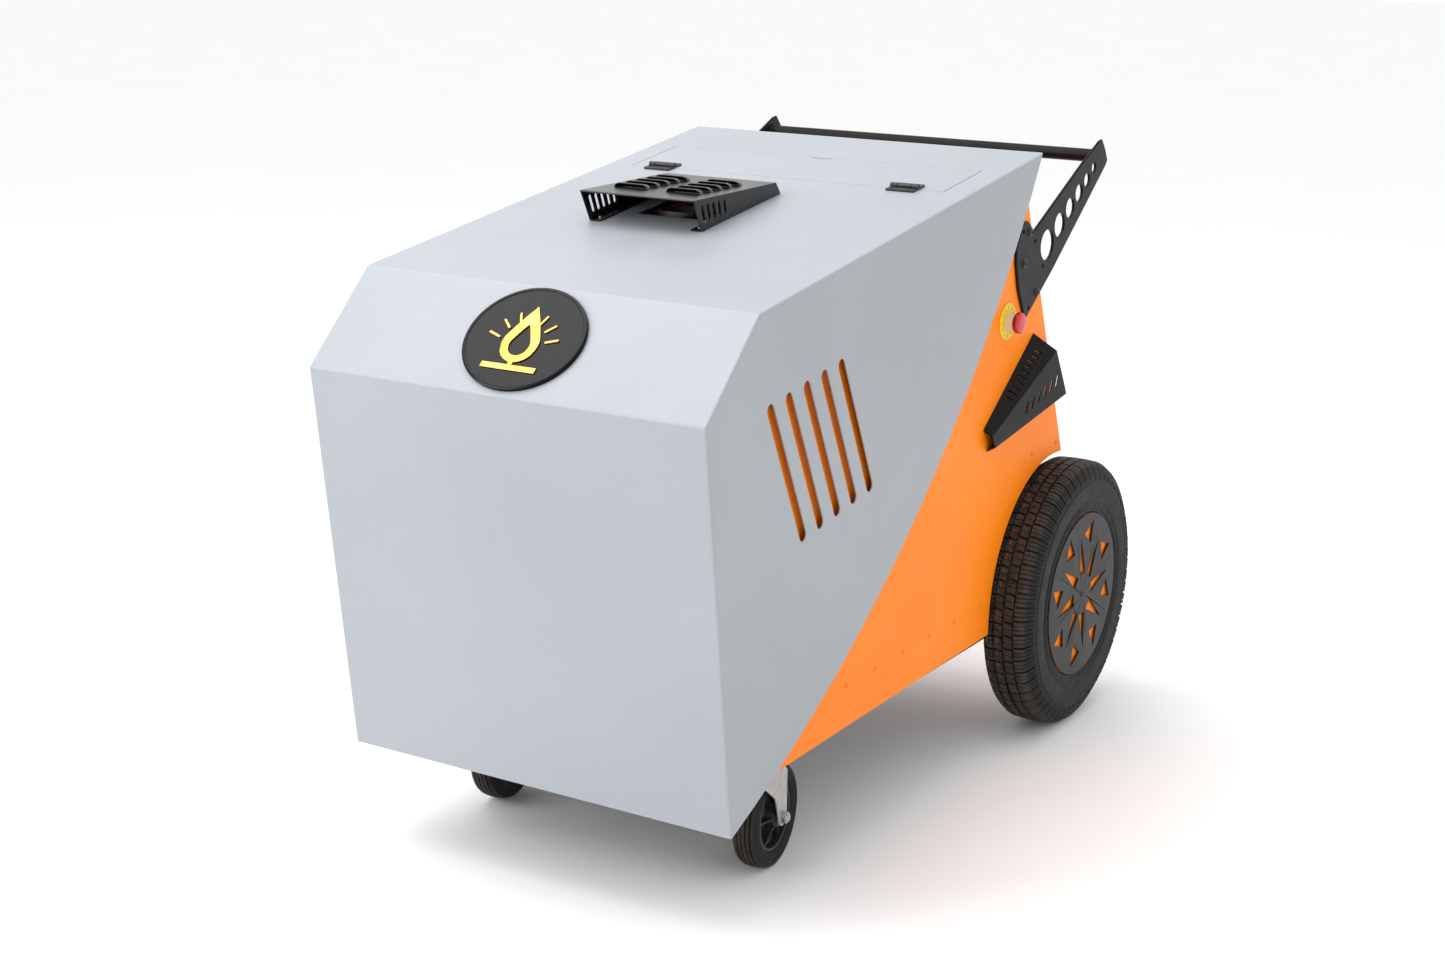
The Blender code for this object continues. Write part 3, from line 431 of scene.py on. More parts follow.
def rubber(name, middle, treadFrom, side, lines=()):
    # vulcanised carbon-black rubber: matt, browner and dustier on the tread than on the walls
    material, tree, shader, place = newFinish(name, 0.62, IOR=1.52, Specular_IOR_Level=0.18)
    local = addNode(tree, "VectorMath", {0: place, 1: middle}, operation="SUBTRACT").outputs["Vector"]
    parts = addNode(tree, "SeparateXYZ", {"Vector": local})
    across = arithmetic(tree, "MULTIPLY", parts.outputs["X"], side)
    flatRadius = addNode(tree, "CombineXYZ", {"Y": parts.outputs["Y"], "Z": parts.outputs["Z"]})
    radius = addNode(
        tree, "VectorMath", {0: flatRadius.outputs["Vector"]}, operation="LENGTH"
    ).outputs["Value"]
    onTread = spread(tree, radius, treadFrom - 0.004, treadFrom + 0.002)
    dust = spread(tree, noise(tree, place, 0.018, 5.0, 0.65), 0.38, 0.72)
    wall = mixed(tree, dust, linear("#18181a"), linear("#252526"))
    tread = mixed(tree, dust, linear("#2b2724"), linear("#4a423c"))
    colour = mixed(tree, onTread, wall, tread)
    for offset, half, hue, dash in lines:
        # a thin moulded-in colour line, broken by the sipes and worn away in patches
        gap = arithmetic(tree, "SUBTRACT", across, offset)
        width = arithmetic(tree, "ABSOLUTE", gap)
        inLine = arithmetic(tree, "LESS_THAN", width, half)
        angle = arithmetic(tree, "ARCTAN2", parts.outputs["Z"], parts.outputs["Y"])
        beat = arithmetic(tree, "MULTIPLY", angle, dash)
        wave = arithmetic(tree, "SINE", beat)
        worn = spread(tree, noise(tree, place, 0.007, 2.0), 0.42, 0.56)
        shown = arithmetic(tree, "GREATER_THAN", wave, -0.2)
        shown = arithmetic(tree, "MULTIPLY", shown, worn)
        shown = arithmetic(tree, "MULTIPLY", shown, inLine)
        shown = arithmetic(tree, "MULTIPLY", shown, onTread)
        colour = mixed(tree, shown, colour, linear(hue))
    tree.links.new(colour, shader.inputs["Base Color"])
    rough = arithmetic(tree, "MULTIPLY_ADD", dust, 0.18, 0.52)
    tree.links.new(rough, shader.inputs["Roughness"])
    relief(tree, shader, noise(tree, place, 0.0028, 3.0), 0.00025)
    return material


millSteel = plainSteel("brushedSteelTube", "#9d9c9a", 0.36, 0.0022, (1, 1, 12))
shaftSteel = plainSteel("drawnSteelShaft", "#a9a9a8", 0.30, 0.0022, (9, 1, 1))
fluePipe = plainSteel("sootedFluePipe", "#57585a", 0.52, 0.0030, (1, 1, 6))
galvanised = galvanisedSteel()
zincPlate = brightZinc()
brass = turnedBrass()
gold = goldPlate()
nylon = mouldedPlastic("glassFilledNylon", "#1b1b1c", "#232324", 0.46)
darkCasting = mouldedPlastic("paintedAluminiumCasting", "#2f3032", "#3a3b3d", 0.55, 0.0025, 0.00035)
motorPaint = mouldedPlastic("enamelledMotorHousing", "#4a4d50", "#53565a", 0.45, 0.0025, 0.00020)
badgeGloss = mouldedPlastic("glossAcrylicBadge", "#060507", "#09080a", 0.16, 0.004, 0.00003)
badgeGloss.node_tree.nodes["Principled BSDF"].inputs["Specular IOR Level"].default_value = 0.2
yellowAbs = mouldedPlastic("printedYellowLegend", "#f2cf10", "#e6c20a", 0.42)
creamAbs = mouldedPlastic("creamPolycarbonate", "#e2cdb0", "#d8c09e", 0.40)
redAbs = mouldedPlastic("redMouldedKnob", "#cf1620", "#bb1018", 0.26, 0.002, 0.00003, 0.3)
blueAbs = mouldedPlastic("blueMouldedNylon", "#1c4f9e", "#174486", 0.40)
blackAbs = mouldedPlastic("blackMouldedAbs", "#161617", "#1e1e1f", 0.38)
whiteTank = mouldedPlastic("rotomouldedPolyethylene", "#dcd8ca", "#cfcaba", 0.50, 0.003, 0.00020)
blackTank = mouldedPlastic("blackRotomouldedTank", "#1d1d1e", "#262627", 0.52, 0.003, 0.00020)
dialWhite = mouldedPlastic("printedDialCard", "#eceae2", "#e2dfd5", 0.55)
print("finishes made")

# ---- hood and what rides on it

settle(skin("hood", 0.0009), "hood", "grey_paint", coat["greyPowderCoat"], "hood")
settle(skin("lid", 0.0006), "lid", "grey_paint", coat["greyPowderCoat"], "lid")

cowl = {
    "middle": -0.0523, "columns": (-0.0487, 0.0447), "first": 0.3500, "pitch": 0.0277,
    "half": 0.0305, "reach": 0.0195, "height": 0.0075, "wall": 0.0010,
    "front": (0.2910, 0.0517), "rear": (0.5265, 0.0205), "rows": 5, "sunk": 0.0005,
    "lip": (0.2917, 0.0504), "lipRadius": 0.0014, "lipHalf": 0.0990,
    "screws": [(-0.0885, 0.322), (-0.0885, 0.505), (0.0885, 0.322), (0.0885, 0.505)],
    "shield": [(-0.125, 0.350), (0.050, 0.350), (0.050, 0.490), (-0.125, 0.490)],
    "shieldDepth": (-0.0040, -0.0029), "flue": 0.467, "flueHole": 0.0450,
}  # fmt: skip


def pressedScoop():
    # half a flattened dome, drawn out sideways, open to the front
    bpy.ops.object.select_all(action="DESELECT")
    bpy.ops.mesh.primitive_uv_sphere_add(segments=32, ring_count=16, radius=1)
    scoop = bpy.context.object
    edit(scoop)
    bpy.ops.mesh.bisect(plane_co=(0, 0, 0), plane_no=(0, 0, 1), clear_inner=True)
    bpy.ops.mesh.select_all(action="SELECT")
    bpy.ops.mesh.bisect(plane_co=(0, 0, 0), plane_no=(0, 1, 0), clear_inner=True)
    bpy.ops.object.mode_set(mode="OBJECT")
    corner = cowl["reach"] * 0.62
    for vertex in scoop.data.vertices:
        x, y, z = vertex.co
        stretch = (cowl["half"] - corner) * max(-1, min(1, x / 0.15))
        vertex.co = (x * corner + stretch, y * cowl["reach"], z * cowl["height"])
    wall = scoop.modifiers.new("wall", "SOLIDIFY")
    wall.thickness = cowl["wall"]
    wall.offset = -1
    pickOnly(scoop)
    bpy.ops.object.modifier_apply(modifier="wall")
    edit(scoop)
    bpy.ops.mesh.normals_make_consistent(inside=False)
    return leave(scoop)


def cowlPieces():
    settle(skin("exhaust_cowl", 0.0005), "hood", "black_paint", coat["cowlPowderCoat"], "exhaust_cowl")
    (frontV, frontW), (rearV, rearW) = cowl["front"], cowl["rear"]
    lean = math.degrees(math.atan2(rearW - frontW, rearV - frontV))
    places = []
    for row in range(cowl["rows"]):
        for column in cowl["columns"]:
            v = cowl["first"] + row * cowl["pitch"]
            w = frontW + (v - frontV) * math.tan(math.radians(lean)) - cowl["sunk"]
            places.append(hoodTop @ at(cowl["middle"] + column, v, w) @ turnedBy(lean, "X"))
    scoops = repeated("cowl_scoops", pressedScoop(), places)
    settle(scoops, "hood", "black_paint", coat["cowlPowderCoat"], smooth=50)
    # a rolled stiffening lip along the front edge of the top, and dome screws in the feet
    along = hoodTop @ at(cowl["middle"], *cowl["lip"]) @ acrossRight
    lip = bar("cowl_front_lip", cowl["lipRadius"], -cowl["lipHalf"], cowl["lipHalf"], along, 16)
    settle(lip, "hood", "black_paint", coat["cowlPowderCoat"])
    profile = [(0, 0.0026), (0.0016, 0.0026), (0.0024, 0.0022), (0.0036, 0.0008), (0.0036, 0), (0, 0)]
    places = [hoodTop @ at(cowl["middle"] + x, v, 0.0022) for x, v in cowl["screws"]]
    screws = repeated("cowl_screws", turn("screw", profile, Matrix(), 20), places)
    settle(screws, "hood", "zinc", zincPlate)
    # a dark shield under the hood closes the opening round the pipe
    shield = plate("flue_shield", cowl["shield"], *cowl["shieldDepth"], hoodTop, 0.0003)
    bore = bar("bore", cowl["flueHole"], 0.85, 1.00, machine @ at(cowl["middle"], cowl["flue"]), 64)
    settle(combine(shield, [bore], "DIFFERENCE"), "hood", "black_paint", coat["blackPowderCoat"])


cowlPieces()

badge = {
    "across": 0.0955, "up": 0.085, "centre": 0.093, "face": 0.0055, "rim": 0.0066,
    "rays": 4, "firstRay": 18, "rayStep": 24, "rayHalf": 0.0019, "rayDepth": (0.0056, 0.0074),
    "raysAcross": 0.0405, "raysUp": 0.046, "raysLow": -0.018,
}  # fmt: skip


def badgePieces():
    place = hoodBrow @ at(0, badge["centre"]) @ Matrix.Diagonal((1, badge["up"] / badge["across"], 1, 1))
    r, face, rim = badge["across"], badge["face"], badge["rim"]
    profile = [(0, face), (r - 0.0062, face), (r - 0.0055, rim - 0.0003), (r - 0.0048, rim)]
    profile += [(r - 0.0022, rim), (r - 0.0007, rim - 0.0007), (r, rim - 0.0024), (r, 0.0003), (0, 0.0003)]
    oval = turn("badge_oval", profile, place, 128)
    settle(oval, "hood", "black_gloss", badgeGloss, "badge_plate", smooth=40)
    emblem = skin("badge_emblem", 0.0005, 2)
    settle(emblem, "hood", "gold", gold, "badge_emblem", smooth=45)
    # rays of spray fanned out either side of the drop
    rays = []
    for side in (-1, 1):
        for number in range(badge["rays"]):
            degrees = badge["firstRay"] + number * badge["rayStep"]
            length = 0.0185 - 0.0022 * number
            shape = pill((0.0, 0.0), (length, 0), badge["rayHalf"], 5)
            ray = plate("ray", shape, *badge["rayDepth"], Matrix(), 0.0005)
            lean = degrees if side > 0 else 180 - degrees
            x = side * badge["raysAcross"] * math.cos(math.radians(degrees))
            up = badge["raysLow"] + badge["raysUp"] * math.sin(math.radians(degrees))
            ray.data.transform(hoodBrow @ at(x, badge["centre"] + up) @ turnedBy(lean, "Z"))
            rays.append(ray)
    settle(gather("badge_rays", rays), "hood", "gold", gold, smooth=45)


badgePieces()


lidHinge = {"across": 0.222, "shift": -0.0035, "screws": (-0.0165, 0.0165), "fixed": 0.6125, "moving": 0.6400}


def lidHinges():
    profile = [(0, 0.0014), (0.0012, 0.0014), (0.0022, 0.0003), (0.0022, -0.0002), (0, -0.0002)]
    dome = turn("screw", profile, Matrix(), 16)
    for word, side in (("right", 1), ("left", -1)):
        middle = side * lidHinge["across"] + lidHinge["shift"]
        for leaf, body in (("fixed", "hood"), ("moving", "lid")):
            node = f"lid_hinge_{leaf}_{word}"
            settle(skin(node, 0.0004), body, "black_paint", blackAbs, node, smooth=45)
            places = [hoodTop @ at(middle + x, lidHinge[leaf], 0.0033) for x in lidHinge["screws"]]
            screws = repeated(f"lid_hinge_screws_{leaf}_{word}", copyOf(dome, "screw"), places)
            settle(screws, body, "black_paint", blackAbs)
    bpy.data.objects.remove(dome)


lidHinges()
print("hood made")

# ---- chassis sheet metal

sheets = {
    "side_panel_right": (0.0006, "orange_paint", coat["orangePowderCoat"]),
    "side_panel_left": (0.0006, "orange_paint", coat["orangePowderCoat"]),
    "rear_panel": (0.0006, "orange_paint", coat["orangePowderCoat"]),
    "floor_pan": (0.0006, "dark_paint", coat["charcoalPowderCoat"]),
    "front_frame": (0.0012, "dark_paint", coat["charcoalPowderCoat"]),
    "lance_holster": (0.0005, "black_paint", coat["blackPowderCoat"]),
    "control_plate": (0.0006, "dark_paint", coat["charcoalPowderCoat"]),
    "control_box": (0.0004, "black_plastic", blackAbs),
}
for node, (edge, slotName, finish) in sheets.items():
    settle(skin(node, edge), "chassis", slotName, finish, node, smooth=24)

# painted pan-head screws along the edges of each side panel, as (length, height)
panelScrews = [
    (0.3396, 0.2713), (0.4307, 0.2709), (0.5226, 0.2714), (0.6117, 0.2723), (0.7011, 0.2725),
    (0.7941, 0.2745),
    (0.8195, 0.2314), (0.8282, 0.3531), (0.8874, 0.4196), (0.9480, 0.4837), (0.9797, 0.4909),
    (1.0801, 0.4915),
]  # fmt: skip


def crossHead(name, radius, height):
    profile = [(0, height), (radius * 0.45, height), (radius * 0.85, height * 0.75)]
    profile += [(radius, height * 0.25), (radius, -0.0004), (0, -0.0004)]
    head = turn(name, profile, Matrix(), 28)
    slots = [
        slab("slot", (-a, a), (-b, b), (height * 0.45, height * 2), Matrix(), 0.00015, 1)
        for a, b in ((radius * 0.55, radius * 0.13), (radius * 0.13, radius * 0.55))
    ]
    return combine(head, slots, "DIFFERENCE")


def panelScrewRows():
    head = crossHead("screw", 0.0042, 0.0021)
    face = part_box("side_panel_right")[1].x
    places = [
        machine @ at(face, y, z) @ acrossRight @ turnedBy(31 * number, "Z")
        for number, (y, z) in enumerate(panelScrews)
    ]
    right = repeated("panel_screws_right", copyOf(head, "screw"), places)
    left = mirrored(right, "panel_screws_left")
    places = [rearSlope @ at(x, v, 0) for x in (-0.292, 0.292) for v in (0.06, 0.17, 0.28, 0.39, 0.49)]
    places += [rearSlope @ at(x, 0.508, 0) for x in (-0.15, 0.0, 0.15)]
    places += [rearWall @ at(x, z, -0.001) for x in (-0.258, 0.258) for z in (0.235, 0.345, 0.455)]
    rear = repeated("rear_panel_screws", copyOf(head, "screw"), places)
    for screws in (right, left, rear):
        settle(screws, "chassis", "orange_paint", coat["orangePowderCoat"])
    places = [rearSlope @ at(x, v, 0.003) for x in (-0.148, 0.148) for v in (0.216, 0.374)]
    plateScrews = repeated("control_plate_screws", head, places)
    settle(plateScrews, "chassis", "zinc", zincPlate)


panelScrewRows()
print("chassis sheets made")

# ---- push handle

handle = {
    "inner": 0.3183, "outer": 0.3233, "bar": (1.188, 0.971), "barRadius": 0.011,
    "outline": [
        (0.8662, 0.8506), (0.8850, 0.8885), (0.8923, 0.8925), (0.9079, 0.8923), (0.9336, 0.8739),
        (1.1193, 0.9656), (1.1887, 0.9964), (1.2016, 0.9987), (1.2180, 0.9800), (1.2296, 0.9606),
        (1.2221, 0.9510), (1.0156, 0.7985), (0.9742, 0.7708), (0.9187, 0.7334), (0.9083, 0.7374),
        (0.8815, 0.7839), (0.8690, 0.8261),
    ],
    "holes": [
        ((0.9874, 0.8437), 0.0255), ((1.0352, 0.8711), 0.0202), ((1.0759, 0.8948), 0.0170),
        ((1.1111, 0.9162), 0.0149), ((1.1430, 0.9348), 0.0120), ((1.1702, 0.9530), 0.0090),
        ((0.8902, 0.8766), 0.0032), ((0.9377, 0.8563), 0.0032), ((0.9733, 0.8108), 0.0032),
        ((0.9228, 0.7484), 0.0032),
    ],
    "bolts": [(0.9160, 0.8728), (0.8983, 0.8239), (0.9541, 0.7704)],
}  # fmt: skip


def socketBolt():
    # button-head bolt with a hexagon socket, on a washer
    profile = [(0, 0.0036), (0.0030, 0.0036), (0.0056, 0.0027), (0.0068, 0.0010), (0.0068, 0.0004)]
    profile += [(0.0082, 0.0004), (0.0084, 0.0), (0.0084, -0.0006), (0, -0.0006)]
    head = turn("bolt", profile, Matrix(), 32)
    socket = plate("socket", hexagon(0.0024), 0.0016, 0.006, Matrix())
    return combine(head, [socket], "DIFFERENCE")


def handlePieces():
    side = plate("handle_plate_right", handle["outline"], handle["inner"], handle["outer"], alongSide)
    edit(side)
    bpy.ops.mesh.select_all(action="DESELECT")
    bpy.ops.object.mode_set(mode="OBJECT")
    # the corners of the outline are the edges that run across the sheet
    for edge in side.data.edges:
        first, last = (side.data.vertices[index].co.x for index in edge.vertices)
        if abs(first - last) > 0.001:
            edge.select = True
    pickOnly(side)
    bpy.ops.object.mode_set(mode="EDIT")
    bpy.ops.mesh.select_mode(type="EDGE")
    bpy.ops.mesh.bevel(offset=0.0025, segments=3, affect="EDGES")
    leave(side)
    drills = [bar("drill", r, 0.30, 0.34, alongSide @ at(y, z), 48, 0.0001) for (y, z), r in handle["holes"]]
    soften(combine(side, drills, "DIFFERENCE"), 0.0007)
    other = mirrored(side, "handle_plate_left")
    for piece, node in ((side, "handle_bracket_right"), (other, "handle_bracket_left")):
        settle(piece, "chassis", "black_paint", coat["blackPowderCoat"], node, smooth=35)
    places = [
        alongSide @ at(y, z, handle["outer"]) @ turnedBy(17 * number, "Z")
        for number, (y, z) in enumerate(handle["bolts"])
    ]
    bolts = repeated("handle_bolts_right", socketBolt(), places)
    settle(mirrored(bolts, "handle_bolts_left"), "chassis", "black_paint", blackAbs)
    settle(bolts, "chassis", "black_paint", blackAbs)
    # the bar, with a weld bead where it meets each plate
    end, r = handle["inner"] - 0.0003, handle["barRadius"]
    half = [(r + 0.0024, end), (r + 0.0020, end - 0.0014), (r + 0.0008, end - 0.0026), (r, end - 0.0034)]
    profile = [(0, end)] + half + [(radius, -height) for radius, height in half[::-1]] + [(0, -end)]
    tube = turn("push_bar", profile, alongSide @ at(*handle["bar"]), 48)
    settle(tube, "chassis", "black_paint", coat["blackPowderCoat"], "handle_bar", smooth=40)


handlePieces()
print("handle made")

# ---- emergency stop

stop = {
    "at": (0.8530, 0.7360), "plate": 0.0301, "collar": 0.0148, "head": 0.0172,
    "face": 0.0018, "rings": (0.0288, 0.0262, 0.0205, 0.0185), "ticks": 12, "raised": 0.0003,
}  # fmt: skip


def stopPieces():
    place = machine @ at(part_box("side_panel_right")[1].x, *stop["at"]) @ acrossRight
    # raised rings on the legend plate stand where its printing would be
    rings, face, raised = [], stop["face"], stop["raised"]
    for r in stop["rings"]:
        rings += [(r, face), (r - 0.0002, face + raised), (r - 0.0009, face + raised), (r - 0.0011, face)]
    r = stop["plate"]
    profile = [(0, 0.0003), (r, 0.0003), (r, face - 0.0003), (r - 0.0003, face)]
    legend = turn("stop_legend", profile + rings + [(0, face)], place, 96)
    settle(legend, "chassis", "yellow_plastic", yellowAbs, "stop_plate", smooth=40)
    tick = slab(
        "tick", (0.0212, 0.0256), (-0.0005, 0.0005), (face - raised, face + raised), Matrix(), 0.0001, 1
    )
    places = [place @ turnedBy(360 / stop["ticks"] * number, "Z") for number in range(stop["ticks"])]
    ticks = repeated("stop_legend_ticks", tick, places)
    settle(ticks, "chassis", "black_paint", blackAbs)
    r = stop["collar"]
    profile = [
        (0, 0.0021), (r, 0.0021), (r, 0.0030), (r - 0.0006, 0.0036), (r - 0.0006, 0.0122),
        (r - 0.0016, 0.0145),
    ]
    profile += [(r - 0.0030, 0.0150), (0.0101, 0.0150), (0.0100, 0.0060), (0, 0.0060)]
    settle(turn("stop_sleeve", profile, place, 64), "chassis", "cream_plastic", creamAbs, "stop_collar")
    r = stop["head"]
    profile = [(0, 0.0095), (0.0092, 0.0095), (0.0094, 0.0097), (0.0094, 0.0200), (r - 0.0004, 0.0200)]
    profile += [(r, 0.0206), (r - 0.0001, 0.0238), (r - 0.0012, 0.0256), (r - 0.0034, 0.0267)]
    profile += [(r - 0.0070, 0.0272), (0.0050, 0.0274), (0, 0.0275)]
    settle(turn("stop_head", profile, place, 64), "stop", "red_plastic", redAbs, "stop_button", smooth=40)
    profile = [(0.0097, 0.0182), (0.0160, 0.0182), (0.0171, 0.0186), (0.0171, 0.0198), (0.0097, 0.0198)]
    settle(turn("stop_skirt", profile, place, 64, ring=True), "stop", "red_plastic", blackAbs)


stopPieces()
print("stop made")

# ---- rear wheels

wheel = {
    "pitches": 60, "crown": 0.2312, "treadDepth": 0.0062, "sipe": 0.0009, "groove": 0.0026,
    "treadFrom": 0.2240, "bolts": 4, "boltCircle": 0.050, "valve": (205, 0.108),
}  # fmt: skip
wheelRight = at(*joints["wheel_spin_right"]["pos_m"]) @ acrossRight
treadLines = [(-0.0100, 0.0008, "#a8452c", 60), (-0.0290, 0.0008, "#a88f2a", 60)]


def crownAt(across):
    # the tread's rounded section: outer radius at a distance across it
    points = [
        (0, wheel["crown"]), (0.015, 0.2309), (0.028, 0.2300), (0.034, 0.2272), (0.0395, 0.2215),
        (0.0435, 0.2140), (0.0462, 0.2040),
    ]  # fmt: skip
    a = abs(across)
    for (a0, r0), (a1, r1) in zip(points, points[1:]):
        if a <= a1:
            return r0 + (r1 - r0) * (a - a0) / (a1 - a0)
    return points[-1][1]


def carcass():
    # sidewalls with fine moulded rings, and a smooth crown under the blocks
    half = [
        (0.1293, 0.0358), (0.1415, 0.0358), (0.1420, 0.0402), (0.1438, 0.0428), (0.1465, 0.0436),
        (0.1480, 0.0430),
        (0.1495, 0.0430), (0.1510, 0.0446), (0.1530, 0.0449), (0.1545, 0.0440), (0.1575, 0.0444),
        (0.1585, 0.0452),
        (0.1595, 0.0444), (0.1620, 0.0447), (0.1630, 0.0455), (0.1640, 0.0448), (0.1740, 0.0459),
        (0.1840, 0.0464),
        (0.1905, 0.0461), (0.1915, 0.0467), (0.1930, 0.0467), (0.1940, 0.0457), (0.2010, 0.0445),
        (0.2080, 0.0423),
        (0.2150, 0.0388), (0.2205, 0.0338), (0.2236, 0.0280), (0.2248, 0.0150), (0.2250, 0.0),
    ]  # fmt: skip
    profile = half + [(r, -h) for r, h in half[-2::-1]]
    return turn("tyre", profile, Matrix(), 144, ring=True)


def treadBlock(low, high, start, end, lean=0.0):
    # one rubber block: across from low to high, round the wheel from start to end, in degrees
    span = (high - low) / 3
    steps = [low + span * i for i in range(4)]
    outer = [(crownAt(a), a) for a in steps]
    # a shoulder block's root is drawn in towards the middle
    drawn = math.copysign(0.0012, low + high) if abs(low + high) > 0.05 else 0.0
    inner = [(crownAt(a) - wheel["treadDepth"] - 0.001, a - drawn) for a in steps]
    corners = outer + inner[::-1]
    piece = chain("block", [(r, 0, a) for r, a in corners])
    bpy.ops.mesh.edge_face_add()
    leave(piece)
    for vertex in piece.data.vertices:
        r, _, a = vertex.co
        turned = math.radians(start + lean * a)
        vertex.co = (r * math.cos(turned), r * math.sin(turned), a)
    edit(piece)
    bpy.ops.mesh.spin(steps=2, angle=math.radians(end - start), center=(0, 0, 0), axis=(0, 0, 1))
    leave(piece)
    closeSpin(piece)
    return soften(piece, 0.0005, 1, 40)


def closeSpin(piece):
    # spin leaves its first section out, so the open end is filled
    edit(piece)
    bpy.ops.mesh.remove_doubles(threshold=1e-6)
    bpy.ops.mesh.select_all(action="DESELECT")
    bpy.ops.mesh.select_mode(type="EDGE")
    bpy.ops.mesh.select_non_manifold(
        extend=False, use_wire=False, use_multi_face=False, use_non_contiguous=False, use_verts=False
    )
    bpy.ops.mesh.edge_face_add()
    bpy.ops.mesh.select_all(action="SELECT")
    bpy.ops.mesh.normals_make_consistent(inside=False)
    leave(piece)


def treadPitch():
    # the blocks of one pitch: two middle ribs, two intermediate ribs and the sipes between
    pitch = 360 / wheel["pitches"]
    gap = math.degrees(wheel["sipe"] / wheel["crown"])
    groove = math.degrees(wheel["groove"] / wheel["crown"])
    pieces = []
    for low, high, slices, shift, lean in (
        (0.0195, 0.0455, 3, 0.0, 0.0), (0.0025, 0.0165, 2, 1.6, 40.0),
        (-0.0165, -0.0025, 2, 3.4, 40.0), (-0.0455, -0.0195, 3, 2.2, 0.0),
    ):  # fmt: skip
        run = (pitch - groove) / slices
        for number in range(slices):
            start = shift + number * run
            pieces.append(treadBlock(low, high, start, start + run - gap, lean))
    lug = slab(
        "lug", (0.1985, 0.2090), (-0.0022, 0.0022), (0.0405, 0.0452), turnedBy(pitch * 0.4, "Z"), 0.0006, 1
    )
    other = copyOf(lug, "lug", Matrix.Scale(-1, 4, (0, 0, 1)))
    other.data.flip_normals()
    return gather("pitch", pieces + [lug, other])


def tyrePieces():
    pitch = treadPitch()
    places = [turnedBy(360 / wheel["pitches"] * n, "Z") for n in range(wheel["pitches"])]
    tread = repeated("tread", pitch, places)
    right = gather("tyre_skin_right", [carcass(), tread])
    right.data.transform(wheelRight)
    left = mirrored(right, "tyre_skin_left")
    for piece, word, side in ((right, "right", 1), (left, "left", -1)):
        middle = joints["wheel_spin_" + word]["pos_m"]
        finish = rubber("mouldedTyreRubber" + word.title(), middle, wheel["treadFrom"], side, treadLines)
        settle(piece, "wheel_" + word, "tyre_rubber", finish, "tyre_" + word, smooth=38)


tyrePieces()
print("tyres made")


def rimPieces():
    # pressed steel rim: rolled flanges, drop centre, a disc set just behind the cover
    half = [
        (0.1290, 0.0362), (0.1400, 0.0362), (0.1412, 0.0372), (0.1412, 0.0384), (0.1402, 0.0392),
        (0.1300, 0.0392),
    ]
    profile = [(0.0130, 0.0385), (0.0130, -0.0340), (0.0300, -0.0340), (0.0300, 0.0330), (0.0325, 0.0355)]
    profile += [(0.1190, 0.0355), (0.1215, 0.0330)]
    profile += [(0.1215, -0.0200), (0.1265, -0.0260), (0.1270, -0.0392)]
    profile += [(0.1402, -0.0405), (0.1412, -0.0395), (0.1412, -0.0385), (0.1400, -0.0372), (0.1290, -0.0368)]
    profile += [(0.1285, -0.0240), (0.1240, -0.0180), (0.1240, 0.0180), (0.1285, 0.0240)]
    profile += half + [
        (0.1275, 0.0392), (0.1262, 0.0382), (0.1245, 0.0382), (0.1230, 0.0395), (0.0140, 0.0395)
    ]
    rim = turn("rim_skin_right", profile, Matrix(), 96, ring=True)
    rim = soften(rim, 0.0005, 1, 40)
    rim.data.transform(wheelRight)
    other = mirrored(rim, "rim_skin_left")
    nut = plate("nut", hexagon(0.0085), 0.0275, 0.0357, at(wheel["boltCircle"], 0, 0), 0.0008)
    stud = bar("stud", 0.0048, 0.0235, 0.0300, at(wheel["boltCircle"], 0, 0), 20)
    turns = [22.5 + 360 / wheel["bolts"] * number for number in range(wheel["bolts"])]
    places = [wheelRight @ turnedBy(degrees, "Z") for degrees in turns]
    nuts = repeated("wheel_nuts_right", gather("nut", [nut, stud]), places)
    otherNuts = mirrored(nuts, "wheel_nuts_left")
    stem = [
        (0, 0.0357), (0.0048, 0.0357), (0.0048, 0.0300), (0.0040, 0.0190), (0.0024, 0.0180), (0.0024, 0.0105)
    ]
    stem += [(0.0020, 0.0100), (0, 0.0100)]
    degrees, radius = wheel["valve"]
    valve = turn("tyre_valve_right", stem, wheelRight @ turnedBy(degrees, "Z") @ at(radius, 0, 0), 20)
    otherValve = mirrored(valve, "tyre_valve_left")
    for word, shell, bolts, cap in (("right", rim, nuts, valve), ("left", other, otherNuts, otherValve)):
        settle(shell, "wheel_" + word, "orange_paint", coat["orangePowderCoat"], "rim_" + word, smooth=38)
        settle(bolts, "wheel_" + word, "zinc", zincPlate)
        settle(cap, "wheel_" + word, "caster_rubber", blackAbs)


rimPieces()

cover = {
    "radius": 0.1421, "inner": 0.0428, "outer": 0.0448, "count": 8,
    "cuts": [  # corners as (radius, degrees)
        [(0.1070, 0.5), (0.0895, -17.8), (0.1297, -15.7)],
        [(0.0385, 19.5), (0.0385, -13.4), (0.1075, 9.3)],
    ],
}  # fmt: skip


